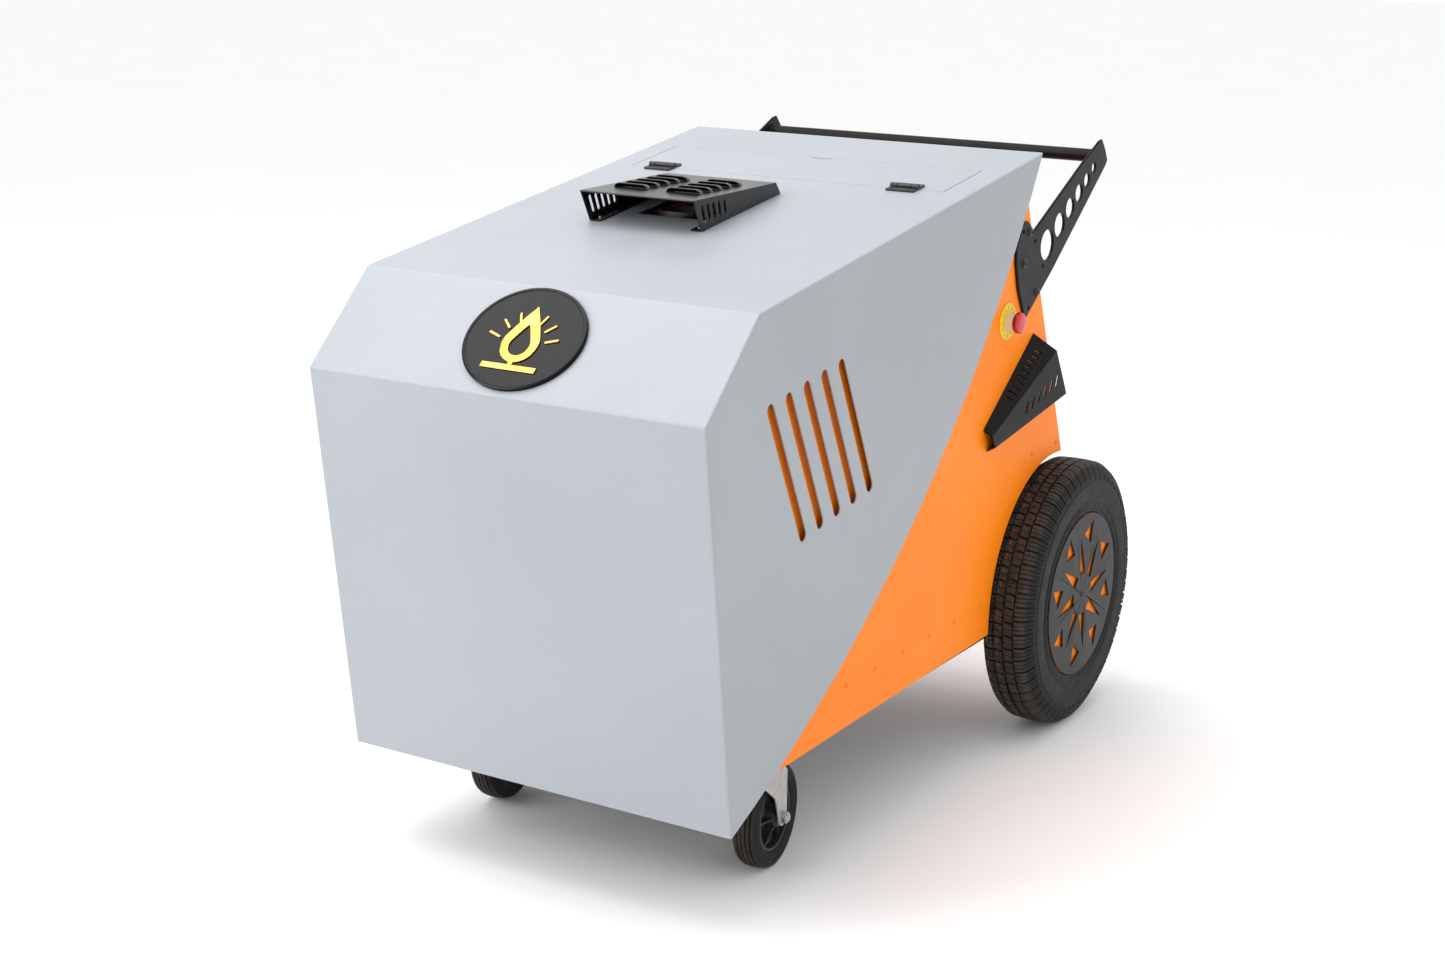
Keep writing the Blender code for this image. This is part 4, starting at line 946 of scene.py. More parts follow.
def coverPieces():
    r, low, high = cover["radius"], cover["inner"], cover["outer"]
    dish = [(0, low), (r, low), (r, high), (0, high)]
    disc = turn("hub_cover_skin_right", dish, Matrix(), 128)
    cutters = []
    for corners in cover["cuts"]:
        for number in range(cover["count"]):
            turns = [(radius, math.radians(a + 360 / cover["count"] * number)) for radius, a in corners]
            outline = [(-radius * math.sin(a), radius * math.cos(a)) for radius, a in turns]
            cutters.append(plate("cut", outline, low - 0.01, high + 0.01, Matrix()))
    disc = soften(combine(disc, cutters, "DIFFERENCE"), 0.0005)
    disc.data.transform(wheelRight)
    screw = crossHead("cover_screw_right", 0.0055, 0.0022)
    screw.data.transform(wheelRight @ at(0, 0, high))
    otherDisc = mirrored(disc, "hub_cover_skin_left")
    otherScrew = mirrored(screw, "cover_screw_left")
    for word, plateSkin, head in (("right", disc, screw), ("left", otherDisc, otherScrew)):
        settle(
            plateSkin, "wheel_" + word, "dark_paint", coat["charcoalPowderCoat"], "hub_cover_" + word,
            smooth=35,
        )
        settle(head, "wheel_" + word, "black_paint", blackAbs)


coverPieces()
print("rear wheels made")

# ---- front casters

caster = {
    "treadFrom": 0.0780, "spokes": 6, "window": (0.0255, 0.0455), "shank": 0.0060, "hexagon": 0.0098,
    "washer": 0.0112, "screwsX": (-0.034, 0.034), "screwsY": (-0.043, 0.043), "floorPan": 0.003,
}  # fmt: skip


def casterTyreProfile():
    half = [
        (0.0558, 0.0158), (0.0570, 0.0172), (0.0600, 0.0178), (0.0608, 0.0188), (0.0640, 0.0190),
        (0.0650, 0.0180),
        (0.0668, 0.0182), (0.0680, 0.0196), (0.0712, 0.0197), (0.0722, 0.0186), (0.0742, 0.0186),
        (0.0765, 0.0176),
        (0.0780, 0.0150), (0.0790, 0.0118), (0.0768, 0.0110), (0.0766, 0.0094), (0.0794, 0.0086),
        (0.0799, 0.0050),
        (0.0779, 0.0042), (0.0778, 0.0028), (0.0800, 0.0020),
    ]  # fmt: skip
    return half + [(r, -h) for r, h in half[::-1]]


def casterCentre(name):
    # glass-filled nylon centre: rim band, thin web with windows, ribbed hub
    band = [
        (0.0500, 0.0158), (0.0490, 0.0148), (0.0490, 0.0040), (0.0470, 0.0022), (0.0240, 0.0022),
        (0.0190, 0.0060),
        (0.0165, 0.0200), (0.0150, 0.0213), (0.0085, 0.0213), (0.0066, 0.0200),
    ]  # fmt: skip
    profile = band + [(r, -h) for r, h in band[::-1]]
    profile += [(0.0545, -0.0158), (0.0555, -0.0148), (0.0555, 0.0148), (0.0545, 0.0158)]
    centre = turn(name, profile, Matrix(), 72, ring=True)
    step = 360 / caster["spokes"]
    inner, outer = caster["window"]
    corners = arc((0, 0), inner, -15, 15, 4) + arc((0, 0), outer, 21, -21, 6)
    turns = [turnedBy(step * number, "Z") for number in range(caster["spokes"])]
    combine(centre, [plate("window", corners, -0.01, 0.01, place) for place in turns], "DIFFERENCE")
    ribs = []
    corners = [(0.0160, 0.0190), (0.0495, 0.0100), (0.0495, 0.0015), (0.0160, 0.0015)]
    for number in range(caster["spokes"]):
        for face in (1, -1):
            upright = Matrix(((1, 0, 0, 0), (0, 0, 1, 0), (0, face, 0, 0), (0, 0, 0, 1)))
            rib = plate("rib", corners, -0.0014, 0.0014, Matrix(), 0.0004, 1)
            rib.data.transform(turnedBy(step / 2 + step * number, "Z") @ upright)
            edit(rib)
            bpy.ops.mesh.normals_make_consistent(inside=False)
            leave(rib)
            ribs.append(rib)
    return gather(name, [soften(centre, 0.0005, 1, 40)] + ribs)


def casterBolt(name):
    # axle bolt: washers, hexagon head one side, nut and thread the other
    shank = bar("shank", caster["shank"], -0.0300, 0.0372, Matrix(), 24)
    threads = [(0.0059 - 0.0006 * (n % 2), 0.0345 + 0.0006 * n) for n in range(7)]
    thread = turn("thread", [(0, 0.0345)] + threads + [(0, 0.0381)], Matrix(), 20)
    washers = [
        bar("washer", caster["washer"], low, low + 0.0012, Matrix(), 32, 0.0002) for low in (0.0286, -0.0298)
    ]
    head = plate("head", hexagon(caster["hexagon"]), -0.0362, -0.0298, Matrix(), 0.0008)
    nut = plate("nut", hexagon(caster["hexagon"]), 0.0298, 0.0358, turnedBy(14, "Z"), 0.0008)
    return gather(name, [shank, thread, head, nut] + washers)


def casterPieces():
    for word, side in (("right", 1), ("left", -1)):
        swivelAt = joints["caster_swivel_" + word]["pos_m"]
        axleAt = joints["caster_spin_" + word]["pos_m"]
        axis = joints["caster_spin_" + word]["axis"]
        hub = at(*axleAt) @ turnedBy(math.degrees(math.atan2(axis[1], axis[0])), "Z") @ acrossRight
        swivel, spinner = "caster_" + word, "caster_wheel_" + word
        tyre = turn("caster_tyre_skin_" + word, casterTyreProfile(), hub, 96, ring=True)
        finish = rubber("casterRubber" + word.title(), axleAt, caster["treadFrom"], 1)
        settle(tyre, spinner, "caster_rubber", finish, "caster_tyre_" + word, smooth=38)
        centre = casterCentre("caster_centre_" + word)
        centre.data.transform(hub)
        settle(centre, spinner, "black_plastic", nylon, "caster_core_" + word, smooth=38)
        settle(skin("caster_fork_" + word, 0.0006), swivel, "zinc", galvanised, "caster_fork_" + word)
        settle(skin("caster_plate_" + word, 0.0006), "chassis", "zinc", galvanised, "caster_plate_" + word)
        bolt = casterBolt("caster_axle_bolt_" + word)
        bolt.data.transform(hub if side > 0 else hub @ turnedBy(180, "X"))
        settle(bolt, swivel, "zinc", zincPlate, "caster_bolt_" + word)
        # four screws hold each mounting plate under the floor pan
        spots = [(x, y) for x in caster["screwsX"] for y in caster["screwsY"]]
        head = plate("screw", hexagon(0.0062), -0.0042, 0.0, Matrix(), 0.0006)
        washer = bar("washer", 0.0078, -0.0010, 0.0, Matrix(), 28, 0.0002)
        hexHead = gather("screw", [head, washer])
        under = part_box("caster_plate_" + word)[1].z - caster["floorPan"]
        places = [at(swivelAt[0] + x, swivelAt[1] + y, under) for x, y in spots]
        settle(repeated("caster_plate_screws_" + word, hexHead, places), "chassis", "zinc", zincPlate)


casterPieces()
print("casters made")

# ---- controls on the sloping rear panel

gauge = {
    "at": (-0.095, 0.310), "radius": 0.034, "dial": 0.0300, "sweep": 240, "marks": 25,
    "card": (0.0081, 0.0083), "print": 0.00845, "markOuter": 0.0270,
    "longMark": (0.0215, 0.00045), "shortMark": (0.0240, 0.00022),
}  # fmt: skip
switch = {"at": (0.0, 0.310), "positions": (0, -45, -90)}
rocker = {"at": (0.090, 0.310), "ribs": (-0.0145, -0.0120, -0.0095), "slope": 0.04}


def gaugePieces():
    place = rearSlope @ at(*gauge["at"])
    r, dial = gauge["radius"], gauge["dial"]
    low, high = gauge["card"]
    profile = [
        (dial, 0.0082), (dial, 0.0128), (0.0308, 0.0140), (0.0322, 0.0146), (0.0334, 0.0142),
        (r + 0.0006, 0.0128),
    ]
    profile += [(r + 0.0006, 0.0030), (0.0330, 0.0030), (0.0330, 0.0082)]
    settle(turn("gauge_bezel", profile, place, 96, ring=True), "chassis", "steel", zincPlate, smooth=40)
    card = turn("gauge_card", [(0, low), (dial, low), (dial, high), (0, high)], place, 72)
    settle(card, "chassis", "cream_plastic", dialWhite)
    marks = []
    for number in range(gauge["marks"]):
        degrees = 30 + gauge["sweep"] / (gauge["marks"] - 1) * number
        inner, half = gauge["shortMark" if number % 4 else "longMark"]
        across, along = (-half, half), (inner, gauge["markOuter"])
        mark = slab("mark", across, along, (high, gauge["print"]), Matrix(), 0.00003, 1)
        mark.data.transform(place @ turnedBy(180 - degrees, "Z"))
        marks.append(mark)
    settle(gather("gauge_marks", marks), "chassis", "black_plastic", blackAbs)
    settle(skin("gauge_needle", 0.0001, 1), "needle", "red_plastic", redAbs, "gauge_needle")


def switchPieces():
    place = rearSlope @ at(*switch["at"])
    base = [(0, 0.0028), (0.0260, 0.0028), (0.0260, 0.0048), (0.0252, 0.0056), (0.0190, 0.0056), (0, 0.0056)]
    settle(turn("switch_ring", base, place, 72), "chassis", "black_plastic", blackAbs)
    marks = [
        slab(
            "mark", (-0.0004, 0.0004), (0.0215, 0.0245), (0.0056, 0.0059), place @ turnedBy(degrees, "Z"),
            0.0001, 1,
        )
        for degrees in switch["positions"]
    ]
    settle(gather("switch_marks", marks), "chassis", "cream_plastic", dialWhite)
    profile = [(0, 0.0058), (0.0186, 0.0058), (0.0190, 0.0062), (0.0190, 0.0112), (0.0176, 0.0132)]
    knob = turn("knob", profile + [(0.0150, 0.0140), (0, 0.0140)], Matrix(), 72)
    grip = slab("grip", (-0.0052, 0.0052), (-0.0200, 0.0200), (0.0100, 0.0262), Matrix(), 0.0018, 3)
    combine(knob, [grip], "UNION")
    knob.data.transform(place)
    settle(knob, "switch", "red_plastic", redAbs, "main_switch")
    pointer = slab("switch_pointer", (-0.0007, 0.0007), (0.0040, 0.0185), (0.0256, 0.0264), place, 0.0002, 1)
    settle(pointer, "switch", "cream_plastic", dialWhite)


def rockerPieces():
    place = rearSlope @ at(*rocker["at"])
    bezel = slab("rocker_frame", (-0.0150, 0.0150), (-0.0235, 0.0235), (0.0028, 0.0048), Matrix(), 0.0008, 2)
    hole = slab("hole", (-0.0119, 0.0119), (-0.0199, 0.0199), (-0.01, 0.02), Matrix(), 0.0004, 1)
    combine(bezel, [hole], "DIFFERENCE")
    bezel.data.transform(place)
    settle(bezel, "chassis", "black_plastic", blackAbs)
    settle(skin("pump_rocker", 0.0005), "rocker", "black_plastic", blackAbs, "pump_rocker", smooth=40)
    # raised finger ribs that step down the tilted face
    ribs = []
    for number, y in enumerate(rocker["ribs"]):
        rise = (0.0052 - rocker["slope"] * y, 0.0064 - rocker["slope"] * y)
        rib = slab("rib", (-0.0075, 0.0075), (y - 0.0006, y + 0.0006), rise, place, 0.0002, 1)
        rib.data.transform(Matrix.Translation(rearSlope.to_3x3() @ Vector((0, 0, 0.0004 - 0.0002 * number))))
        ribs.append(rib)
    settle(gather("rocker_ribs", ribs), "rocker", "black_plastic", blackAbs)


gaugePieces()
switchPieces()
rockerPieces()
print("controls made")

# ---- ports on the upright rear panel


ports = {
    "outlet": (-0.120, 0.390), "water": (0.0, 0.330), "power": (0.120, 0.385), "spindle": 0.032,
    "bore": 0.0088, "wireStep": 0.0015, "wireRadius": 0.00025, "pinCircle": 0.0115,
    "powerScrews": (-0.028, 0.028),
}  # fmt: skip


def threaded(radius, pitch, start, end):
    # a lathe profile's run of thread crests and roots
    count = int((end - start) / pitch)
    points = []
    for number in range(count):
        points += [(radius - pitch * 0.5, start + pitch * number), (radius, start + pitch * (number + 0.5))]
    return points


def outletPort():
    place = rearWall @ at(*ports["outlet"])
    spindle = at(0, 0, ports["spindle"]) @ acrossRear
    body = [
        (0, 0.0003), (0.0180, 0.0003), (0.0180, 0.0052), (0.0172, 0.0060), (0.0125, 0.0066), (0.0120, 0.0080),
        (0.0120, 0.0220),
    ]
    body += [(0.0140, 0.0228), (0.0150, 0.0240), (0.0150, 0.0396), (0.0140, 0.0410), (0.0105, 0.0418)]
    body += threaded(0.0100, 0.0014, 0.0424, 0.0552) + [
        (0.0094, 0.0560), (0.0066, 0.0560), (0.0060, 0.0554), (0.0060, 0.0460), (0, 0.0460)
    ]
    valve = turn("outlet_body", body, Matrix(), 48)
    collar = plate("collar", hexagon(0.0165), 0.0085, 0.0205, Matrix(), 0.0008)
    stem = bar("stem", 0.0055, 0.0, 0.0205, spindle, 32)
    gland = plate("gland", hexagon(0.0085), 0.0120, 0.0175, spindle, 0.0006)
    valve = gather("outlet_body", [valve, collar, stem, gland])
    valve.data.transform(place)
    settle(valve, "chassis", "brass", brass, "outlet_valve", smooth=38)
    settle(skin("outlet_lever", 0.0006), "lever", "red_plastic", redAbs, "outlet_lever", smooth=45)
    nut = plate("lever_nut", hexagon(0.0048), 0.0240, 0.0276, place @ spindle, 0.0006)
    settle(nut, "lever", "zinc", zincPlate)


def waterPort():
    place = rearWall @ at(*ports["water"])
    body = [
        (0, 0.0003), (0.0200, 0.0003), (0.0200, 0.0052), (0.0192, 0.0060), (0.0136, 0.0066), (0.0130, 0.0080),
        (0.0130, 0.0196),
    ]
    body += [(0.0150, 0.0204)] + threaded(0.0165, 0.0018, 0.0212, 0.0330) + [
        (0.0158, 0.0340), (0.0096, 0.0340), (0.0090, 0.0334)
    ]
    body += [(0.0090, 0.0120), (0, 0.0120)]
    inlet = turn("inlet_body", body, Matrix(), 56)
    collar = plate("collar", hexagon(0.0185), 0.0085, 0.0170, Matrix(), 0.0008)
    inlet = gather("inlet_body", [inlet, collar])
    inlet.data.transform(place)
    settle(inlet, "chassis", "brass", brass, "water_inlet", smooth=38)
    # a wire strainer across the bore
    wires = []
    for number in range(-5, 6):
        aside = ports["wireStep"] * number
        reach = math.sqrt(ports["bore"] ** 2 - aside**2)
        for degrees in (0, 90):
            across = turnedBy(degrees, "Z") @ at(aside, 0, 0.0180) @ turnedBy(90, "X")
            wires.append(bar("wire", ports["wireRadius"], -reach, reach, across, 6, 0.00005))
    strainer = gather("inlet_strainer", wires)
    strainer.data.transform(place)
    settle(strainer, "chassis", "steel", zincPlate)


def powerPort():
    place = rearWall @ at(*ports["power"])
    settle(skin("power_inlet", 0.0007), "chassis", "blue_plastic", blueAbs, "power_inlet", smooth=38)
    profile = [
        (0, 0.0138), (0.0026, 0.0138), (0.0026, 0.0300), (0.0020, 0.0318), (0.0010, 0.0324), (0, 0.0325)
    ]
    pin = turn("pin", profile, Matrix(), 20)
    places = [place @ turnedBy(degrees, "Z") @ at(ports["pinCircle"], 0, 0) for degrees in (-90, 30, 150)]
    settle(repeated("power_pins", pin, places), "chassis", "brass", brass)
    screw = crossHead("screw", 0.0034, 0.0018)
    places = [place @ at(x, y, 0.0120) for x in ports["powerScrews"] for y in ports["powerScrews"]]
    settle(repeated("power_inlet_screws", screw, places), "chassis", "zinc", zincPlate)


outletPort()
waterPort()
powerPort()
print("ports made")

# ---- running gear and machinery under the hood


axle = {"at": (1.0765, 0.2312), "radius": 0.0125, "half": 0.372, "collars": (0.2655, -0.2715)}
hoodRod = {"at": (0.868, 0.948), "radius": 0.0058, "half": 0.3150}


def shaftPieces():
    along = machine @ at(0, *axle["at"]) @ acrossRight
    shaft = bar("axle_shaft", axle["radius"], -axle["half"], axle["half"], along, 64, 0.0010)
    settle(shaft, "chassis", "steel", shaftSteel, "axle")
    along = machine @ at(0, *hoodRod["at"]) @ acrossRight
    rod = bar("hood_rod", hoodRod["radius"], -hoodRod["half"], hoodRod["half"], along, 40, 0.0008)
    settle(rod, "chassis", "steel", shaftSteel, "hood_hinge_rod")
    profile = [
        (0.0126, 0.0), (0.0165, 0.0), (0.0172, 0.0008), (0.0172, 0.0052), (0.0165, 0.0060), (0.0126, 0.0060)
    ]
    end = turn("ring", profile, Matrix(), 40, ring=True)
    places = [machine @ at(x, *axle["at"]) @ acrossRight for x in axle["collars"]]
    settle(repeated("axle_collars", end, places), "chassis", "steel", zincPlate)


boiler = {
    "at": (-0.035, 0.467), "beads": (0.300, 0.500, 0.700), "nuts": 8, "nutCircle": 0.103, "nutSeat": 0.8290,
    "flueShift": -0.0173, "bolts": 6, "boltCircle": 0.0500, "boltSeat": 0.8399,
}  # fmt: skip


def boilerPieces():
    centre = machine @ at(*boiler["at"])
    profile = [
        (0, 0.8260), (0.118, 0.8180), (0.176, 0.7960), (0.182, 0.7780), (0.182, 0.2420), (0.152, 0.2410),
        (0.152, 0.2103), (0.160, 0.2103), (0.160, 0.2350),
    ]
    profile += [(0.188, 0.2360), (0.190, 0.2380)]
    for z in boiler["beads"]:
        # rolled stiffening beads in the drum
        profile += [
            (0.190, z - 0.010), (0.1925, z - 0.007), (0.1935, z), (0.1925, z + 0.007), (0.190, z + 0.010)
        ]
    profile += [
        (0.190, 0.776), (0.189, 0.784), (0.182, 0.800), (0.150, 0.815), (0.120, 0.826), (0.078, 0.8338),
        (0, 0.834),
    ]
    settle(turn("boiler_drum", profile, centre, 96), "chassis", "steel", millSteel, "boiler", smooth=40)
    nut = plate("nut", hexagon(0.0060), 0.0, 0.0050, Matrix(), 0.0006)
    nut = gather("nut", [nut, bar("stud", 0.0032, 0, 0.0085, Matrix(), 16)])
    turns = [360 / boiler["nuts"] * number + 22.5 for number in range(boiler["nuts"])]
    seat = at(boiler["nutCircle"], 0, boiler["nutSeat"])
    places = [centre @ turnedBy(degrees, "Z") @ seat @ turnedBy(9, "Y") for degrees in turns]
    settle(repeated("boiler_nuts", nut, places), "chassis", "zinc", zincPlate)
    flue = centre @ at(boiler["flueShift"], 0, 0)
    profile = [
        (0.0365, 0.8343), (0.0600, 0.8343), (0.0600, 0.8392), (0.0592, 0.8400), (0.0405, 0.8402),
        (0.0390, 0.8420),
    ]
    profile += [(0.0390, 0.9262), (0.0395, 0.9275), (0.0392, 0.9288), (0.0377, 0.9290), (0.0365, 0.9280)]
    pipe = turn("flue_pipe", profile, flue, 72, ring=True)
    settle(pipe, "chassis", "steel", fluePipe, "exhaust_pipe", smooth=40)
    bolt = plate("bolt", hexagon(0.0050), 0.0, 0.0038, Matrix(), 0.0005)
    turns = [360 / boiler["bolts"] * number for number in range(boiler["bolts"])]
    seat = at(boiler["boltCircle"], 0, boiler["boltSeat"])
    places = [flue @ turnedBy(degrees, "Z") @ seat for degrees in turns]
    settle(repeated("flue_bolts", bolt, places), "chassis", "zinc", zincPlate)


burner = {
    "fan": (-0.143 - 0.035, 0.150, 0.350), "ribs": 18, "screwsX": (-0.110, 0.040), "screwsZ": (0.286, 0.414)
}


def burnerPieces():
    settle(skin("burner", 0.0015, 3), "chassis", "cast_body", darkCasting, "burner", smooth=40)
    # cooling ribs and a cap on the fan's face, and cover screws
    face = machine @ at(*burner["fan"]) @ turnedBy(-90, "Y")
    rib = slab("rib", (0.020, 0.064), (-0.0014, 0.0014), (-0.001, 0.0030), Matrix(), 0.0006, 1)
    ribs = repeated(
        "burner_fan_ribs", rib,
        [face @ turnedBy(360 / burner["ribs"] * n, "Z") for n in range(burner["ribs"])],
    )
    settle(ribs, "chassis", "cast_body", darkCasting)
    profile = [(0, 0.0042), (0.0150, 0.0042), (0.0180, 0.0030), (0.0185, -0.0005), (0, -0.0005)]
    cap = turn("burner_fan_cap", profile, face, 48)
    settle(cap, "chassis", "cast_body", darkCasting)
    screw = crossHead("screw", 0.0045, 0.0024)
    places = [
        machine @ at(x, 0.085, z) @ turnedBy(90, "X") for x in burner["screwsX"] for z in burner["screwsZ"]
    ]
    settle(repeated("burner_cover_screws", screw, places), "chassis", "zinc", zincPlate)


pump = {
    "axis": (0.225, 0, 0.292), "fins": 16, "firstFin": 0.2110, "finPitch": 0.0110,
    "caps": (0.197, 0.225, 0.253), "topCaps": (0.588, 0.330), "frontCaps": (0.615, 0.292),
}  # fmt: skip


def pumpPieces():
    along = machine @ at(*pump["axis"]) @ acrossRear
    profile = [
        (0, 0.1750), (0.0480, 0.1750), (0.0520, 0.1762), (0.0640, 0.1880), (0.0660, 0.1920), (0.0660, 0.2080),
        (0.0632, 0.2090),
    ]
    for number in range(pump["fins"]):
        # cast cooling fins round the motor
        y = pump["firstFin"] + pump["finPitch"] * number
        profile += [(0.0632, y), (0.0664, y + 0.0006), (0.0664, y + 0.0034), (0.0632, y + 0.0042)]
    profile += [
        (0.0632, 0.3890), (0.0660, 0.3900), (0.0655, 0.3990), (0.0420, 0.4090), (0.0400, 0.4110),
        (0.0400, 0.4397), (0, 0.4397),
    ]
    body = turn("motor", profile, along, 72)
    feet = slab("feet", (0.165, 0.285), (0.220, 0.370), (0.2100, 0.240), machine, 0.003, 2)
    box = slab("terminal_box", (0.195, 0.255), (0.250, 0.330), (0.345, 0.378), machine, 0.004, 3)
    motor = gather("pump_motor_body", [body, feet, box])
    settle(motor, "chassis", "steel", motorPaint, "pump_motor", smooth=38)
    block = slab("pump_block", (0.170, 0.280), (0.4400, 0.570), (0.2100, 0.340), machine, 0.006, 3)
    head = slab("pump_head", (0.180, 0.270), (0.560, 0.615), (0.255, 0.330), machine, 0.004, 2)
    settle(gather("pump_body", [block, head]), "chassis", "brass", brass, "pump", smooth=38)
    cap = plate("cap", hexagon(0.0105), -0.001, 0.0090, Matrix(), 0.0010)
    places = [machine @ at(x, *pump["topCaps"]) for x in pump["caps"]]
    places += [machine @ at(x, *pump["frontCaps"]) @ acrossRear for x in pump["caps"]]
    settle(repeated("pump_valve_caps", cap, places), "chassis", "brass", brass, smooth=38)


def roundPipe(name, points, radius, nodes):
    # a bent tube, with its corners drawn at four times its radius
    corners = [Vector(p) for p in points]
    path = [corners[0]]
    for before, corner, after in zip(corners, corners[1:], corners[2:]):
        reach = radius * 4
        start = corner + (before - corner).normalized() * reach
        end = corner + (after - corner).normalized() * reach
        path += [start.lerp(corner, t).lerp(corner.lerp(end, t), t) for t in (0, 0.2, 0.4, 0.6, 0.8, 1)]
    path.append(corners[-1])
    curve = bpy.data.curves.new(name, "CURVE")
    curve.dimensions = "3D"
    curve.bevel_depth = radius
    curve.bevel_resolution = 6
    curve.use_fill_caps = True
    line = curve.splines.new("POLY")
    line.points.add(len(path) - 1)
    for point, where in zip(line.points, path):
        point.co = (*where, 1)
    tube = bpy.data.objects.new(name, curve)
    bpy.context.scene.collection.objects.link(tube)
    pickOnly(tube)
    bpy.ops.object.convert(target="MESH")
    tube = bpy.context.object
    edit(tube)
    bpy.ops.mesh.remove_doubles(threshold=1e-6)
    bpy.ops.mesh.normals_make_consistent(inside=False)
    leave(tube, machine)
    return settle(tube, "chassis", "steel", millSteel, *nodes, smooth=40)


# each union nut as its place, the way it faces and its length
pipeNuts = [
    ((0.0, 0.6600, 0.360), acrossRear, 0.0110),
    ((0.120, 1.0860, 0.390), acrossRear, 0.0110),
    ((0.1555, 0.520, 0.265), acrossRight, 0.0080),
]
pipeNutRadius = 0.0090


def pipePieces():
    feed = bar("feed_pipe", 0.006, 0.1512, 0.1697, machine @ at(0, 0.520, 0.265) @ acrossRight, 32)
    settle(feed, "chassis", "steel", millSteel, "feed_line")
    route = [(0.0, 0.6557, 0.360), (0.0, 0.880, 0.360), (0.120, 0.990, 0.390), (0.120, 1.0990, 0.390)]
    roundPipe("steam_pipe", route, 0.005, ["steam_line"])
    nuts = [
        plate("nut", hexagon(pipeNutRadius), 0.0, length, machine @ at(*where) @ facing, 0.0008)
        for where, facing, length in pipeNuts
    ]
    settle(gather("pipe_nuts", nuts), "chassis", "brass", brass)


tank = {
    "x": (0.010, 0.270), "y": (0.675, 0.828), "z": (0.2100, 0.870), "neck": (0.14, 0.742),
    "grooves": (0.35, 0.53, 0.71), "cap": 0.9045, "capRibs": 24,
}  # fmt: skip


def tankPieces():
    for word, side, finish, slotName, capFinish, capSlot in (
        ("water", -1, whiteTank, "cream_plastic", blueAbs, "blue_plastic"),
        ("fuel", 1, blackTank, "black_plastic", redAbs, "red_plastic"),
    ):
        low, high = sorted(side * x for x in tank["x"])
        shell = slab("tank", (low, high), tank["y"], tank["z"], machine, 0.015, 4)
        across = (low - 0.01, high + 0.01)
        grooves = [
            slab("groove", across, (0.660, 0.6795), (z - 0.009, z + 0.009), machine, 0.004, 2)
            for z in tank["grooves"]
        ]
        combine(shell, grooves, "DIFFERENCE")
        neckX, neckY = side * tank["neck"][0], tank["neck"][1]
        neckAt = machine @ at(neckX, neckY)
        profile = [(0, 0.864), (0.0340, 0.864), (0.0340, 0.868), (0.0300, 0.874)]
        profile += threaded(0.0300, 0.0040, 0.8765, 0.8925) + [(0.0290, 0.8945), (0, 0.8945)]
        neck = turn("neck", profile, neckAt, 56)
        body = gather(word + "_tank_skin", [shell, neck])
        settle(body, "chassis", slotName, finish, word + "_tank", smooth=40)
        z = tank["cap"]
        profile = [
            (0, z - 0.0095), (0.0335, z - 0.0095), (0.0345, z - 0.0085), (0.0345, z + 0.0070),
            (0.0335, z + 0.0090),
        ]
        profile += [(0.0310, z + 0.0100), (0.0280, z + 0.0100), (0.0270, z + 0.0092), (0, z + 0.0092)]
        cap = turn("cap", profile, neckAt, 72)
        across = (neckX - 0.028, neckX + 0.028)
        grip = slab("grip", across, (0.736, 0.748), (z, z + 0.018), machine, 0.0025, 3)
        combine(cap, [grip], "UNION")
        rib = slab("rib", (0.0338, 0.0352), (-0.0010, 0.0010), (z - 0.0080, z + 0.0065), Matrix(), 0.0003, 1)
        turns = [360 / tank["capRibs"] * number for number in range(tank["capRibs"])]
        ribs = repeated("rib", rib, [neckAt @ turnedBy(degrees, "Z") for degrees in turns])
        cap = gather(word + "_cap_skin", [cap, ribs])
        settle(cap, word + "_cap", capSlot, capFinish, word + "_cap", smooth=38)


shaftPieces()
boilerPieces()
burnerPieces()
pumpPieces()
pipePieces()
tankPieces()
print("machinery made")

# ---- camera, light and floor

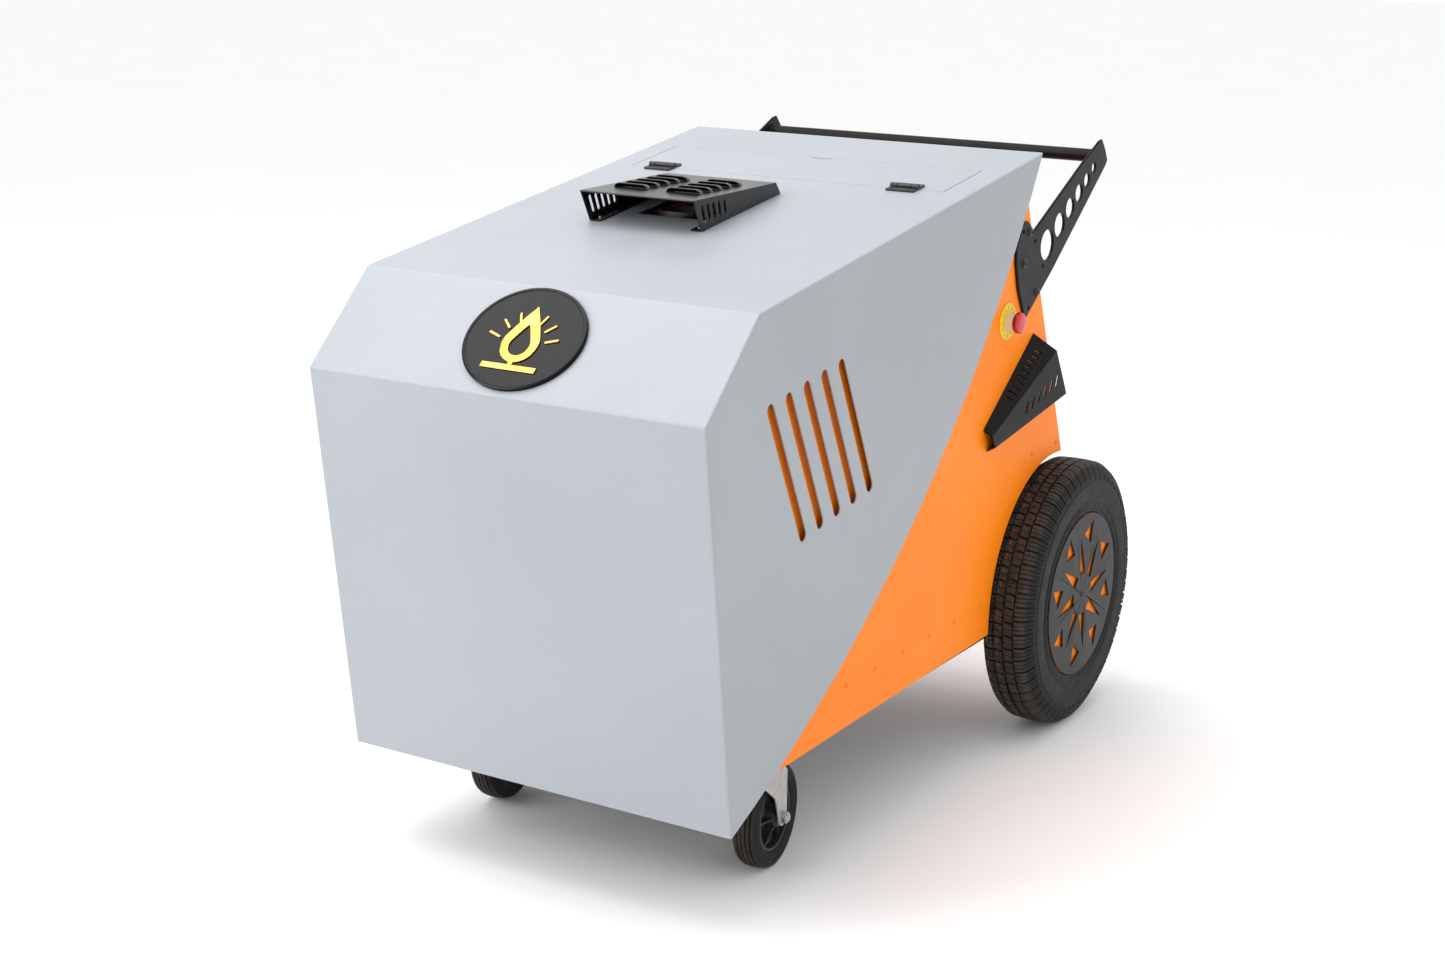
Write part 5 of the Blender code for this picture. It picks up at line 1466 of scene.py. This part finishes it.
view = {
    "from": (1.7821, -3.0315, 1.3987), "azimuth": 31.389, "elevation": 14.751, "roll": 0.813,
    "lens": 55.96, "sensor": 36.0,
}  # fmt: skip


def placeCamera():
    data = bpy.data.cameras.new("camera")
    data.lens = view["lens"]
    data.sensor_width = view["sensor"]
    camera = bpy.data.objects.new("camera", data)
    bpy.context.scene.collection.objects.link(camera)
    camera.matrix_world = (
        at(*view["from"])
        @ turnedBy(view["azimuth"], "Z")
        @ turnedBy(90 - view["elevation"], "X")
        @ turnedBy(view["roll"], "Z")
    )
    bpy.context.scene.camera = camera


def softBox(name, where, aim, size, power):
    light = bpy.data.lights.new(name, "AREA")
    light.shape = "RECTANGLE"
    light.size, light.size_y = size
    light.energy = power
    lamp = bpy.data.objects.new(name, light)
    bpy.context.scene.collection.objects.link(lamp)
    direction = Vector(aim) - Vector(where)
    lamp.matrix_world = at(*where) @ direction.to_track_quat("-Z", "Y").to_matrix().to_4x4()


# each soft light as where it stands, what it faces, its size and its power in watts
softBoxes = {
    "topBox": ((-0.8, -0.6, 3.6), (0, 0, 0.6), (3.0, 3.0), 78),
    "frontBox": ((-2.2, -3.2, 2.3), (0, -0.3, 0.6), (2.2, 1.8), 66),
    "rightBox": ((3.6, -0.8, 1.8), (0.2, 0.2, 0.5), (1.6, 2.0), 6),
}


def studio():
    world = bpy.data.worlds.new("studio")
    bpy.context.scene.world = world
    world.use_nodes = True
    background = world.node_tree.nodes["Background"]
    background.inputs["Color"].default_value = (1, 1, 1, 1)
    background.inputs["Strength"].default_value = 1.0
    for name, settings in softBoxes.items():
        softBox(name, *settings)
    bpy.ops.object.select_all(action="DESELECT")
    bpy.ops.mesh.primitive_plane_add(size=60, location=(0, 0, 0))
    floor = bpy.context.object
    floor.name = "studio_floor"
    material, tree, shader, place = newFinish("paleStudioFloor", 0.9)
    tone = mixed(tree, noise(tree, place, 0.5), linear("#fbfbfb"), linear("#f8f8f8"))
    tree.links.new(tone, shader.inputs["Base Color"])
    floor.data.materials.append(material)


placeCamera()
studio()
bpy.context.scene.view_settings.view_transform = "Standard"
print("scene ready")
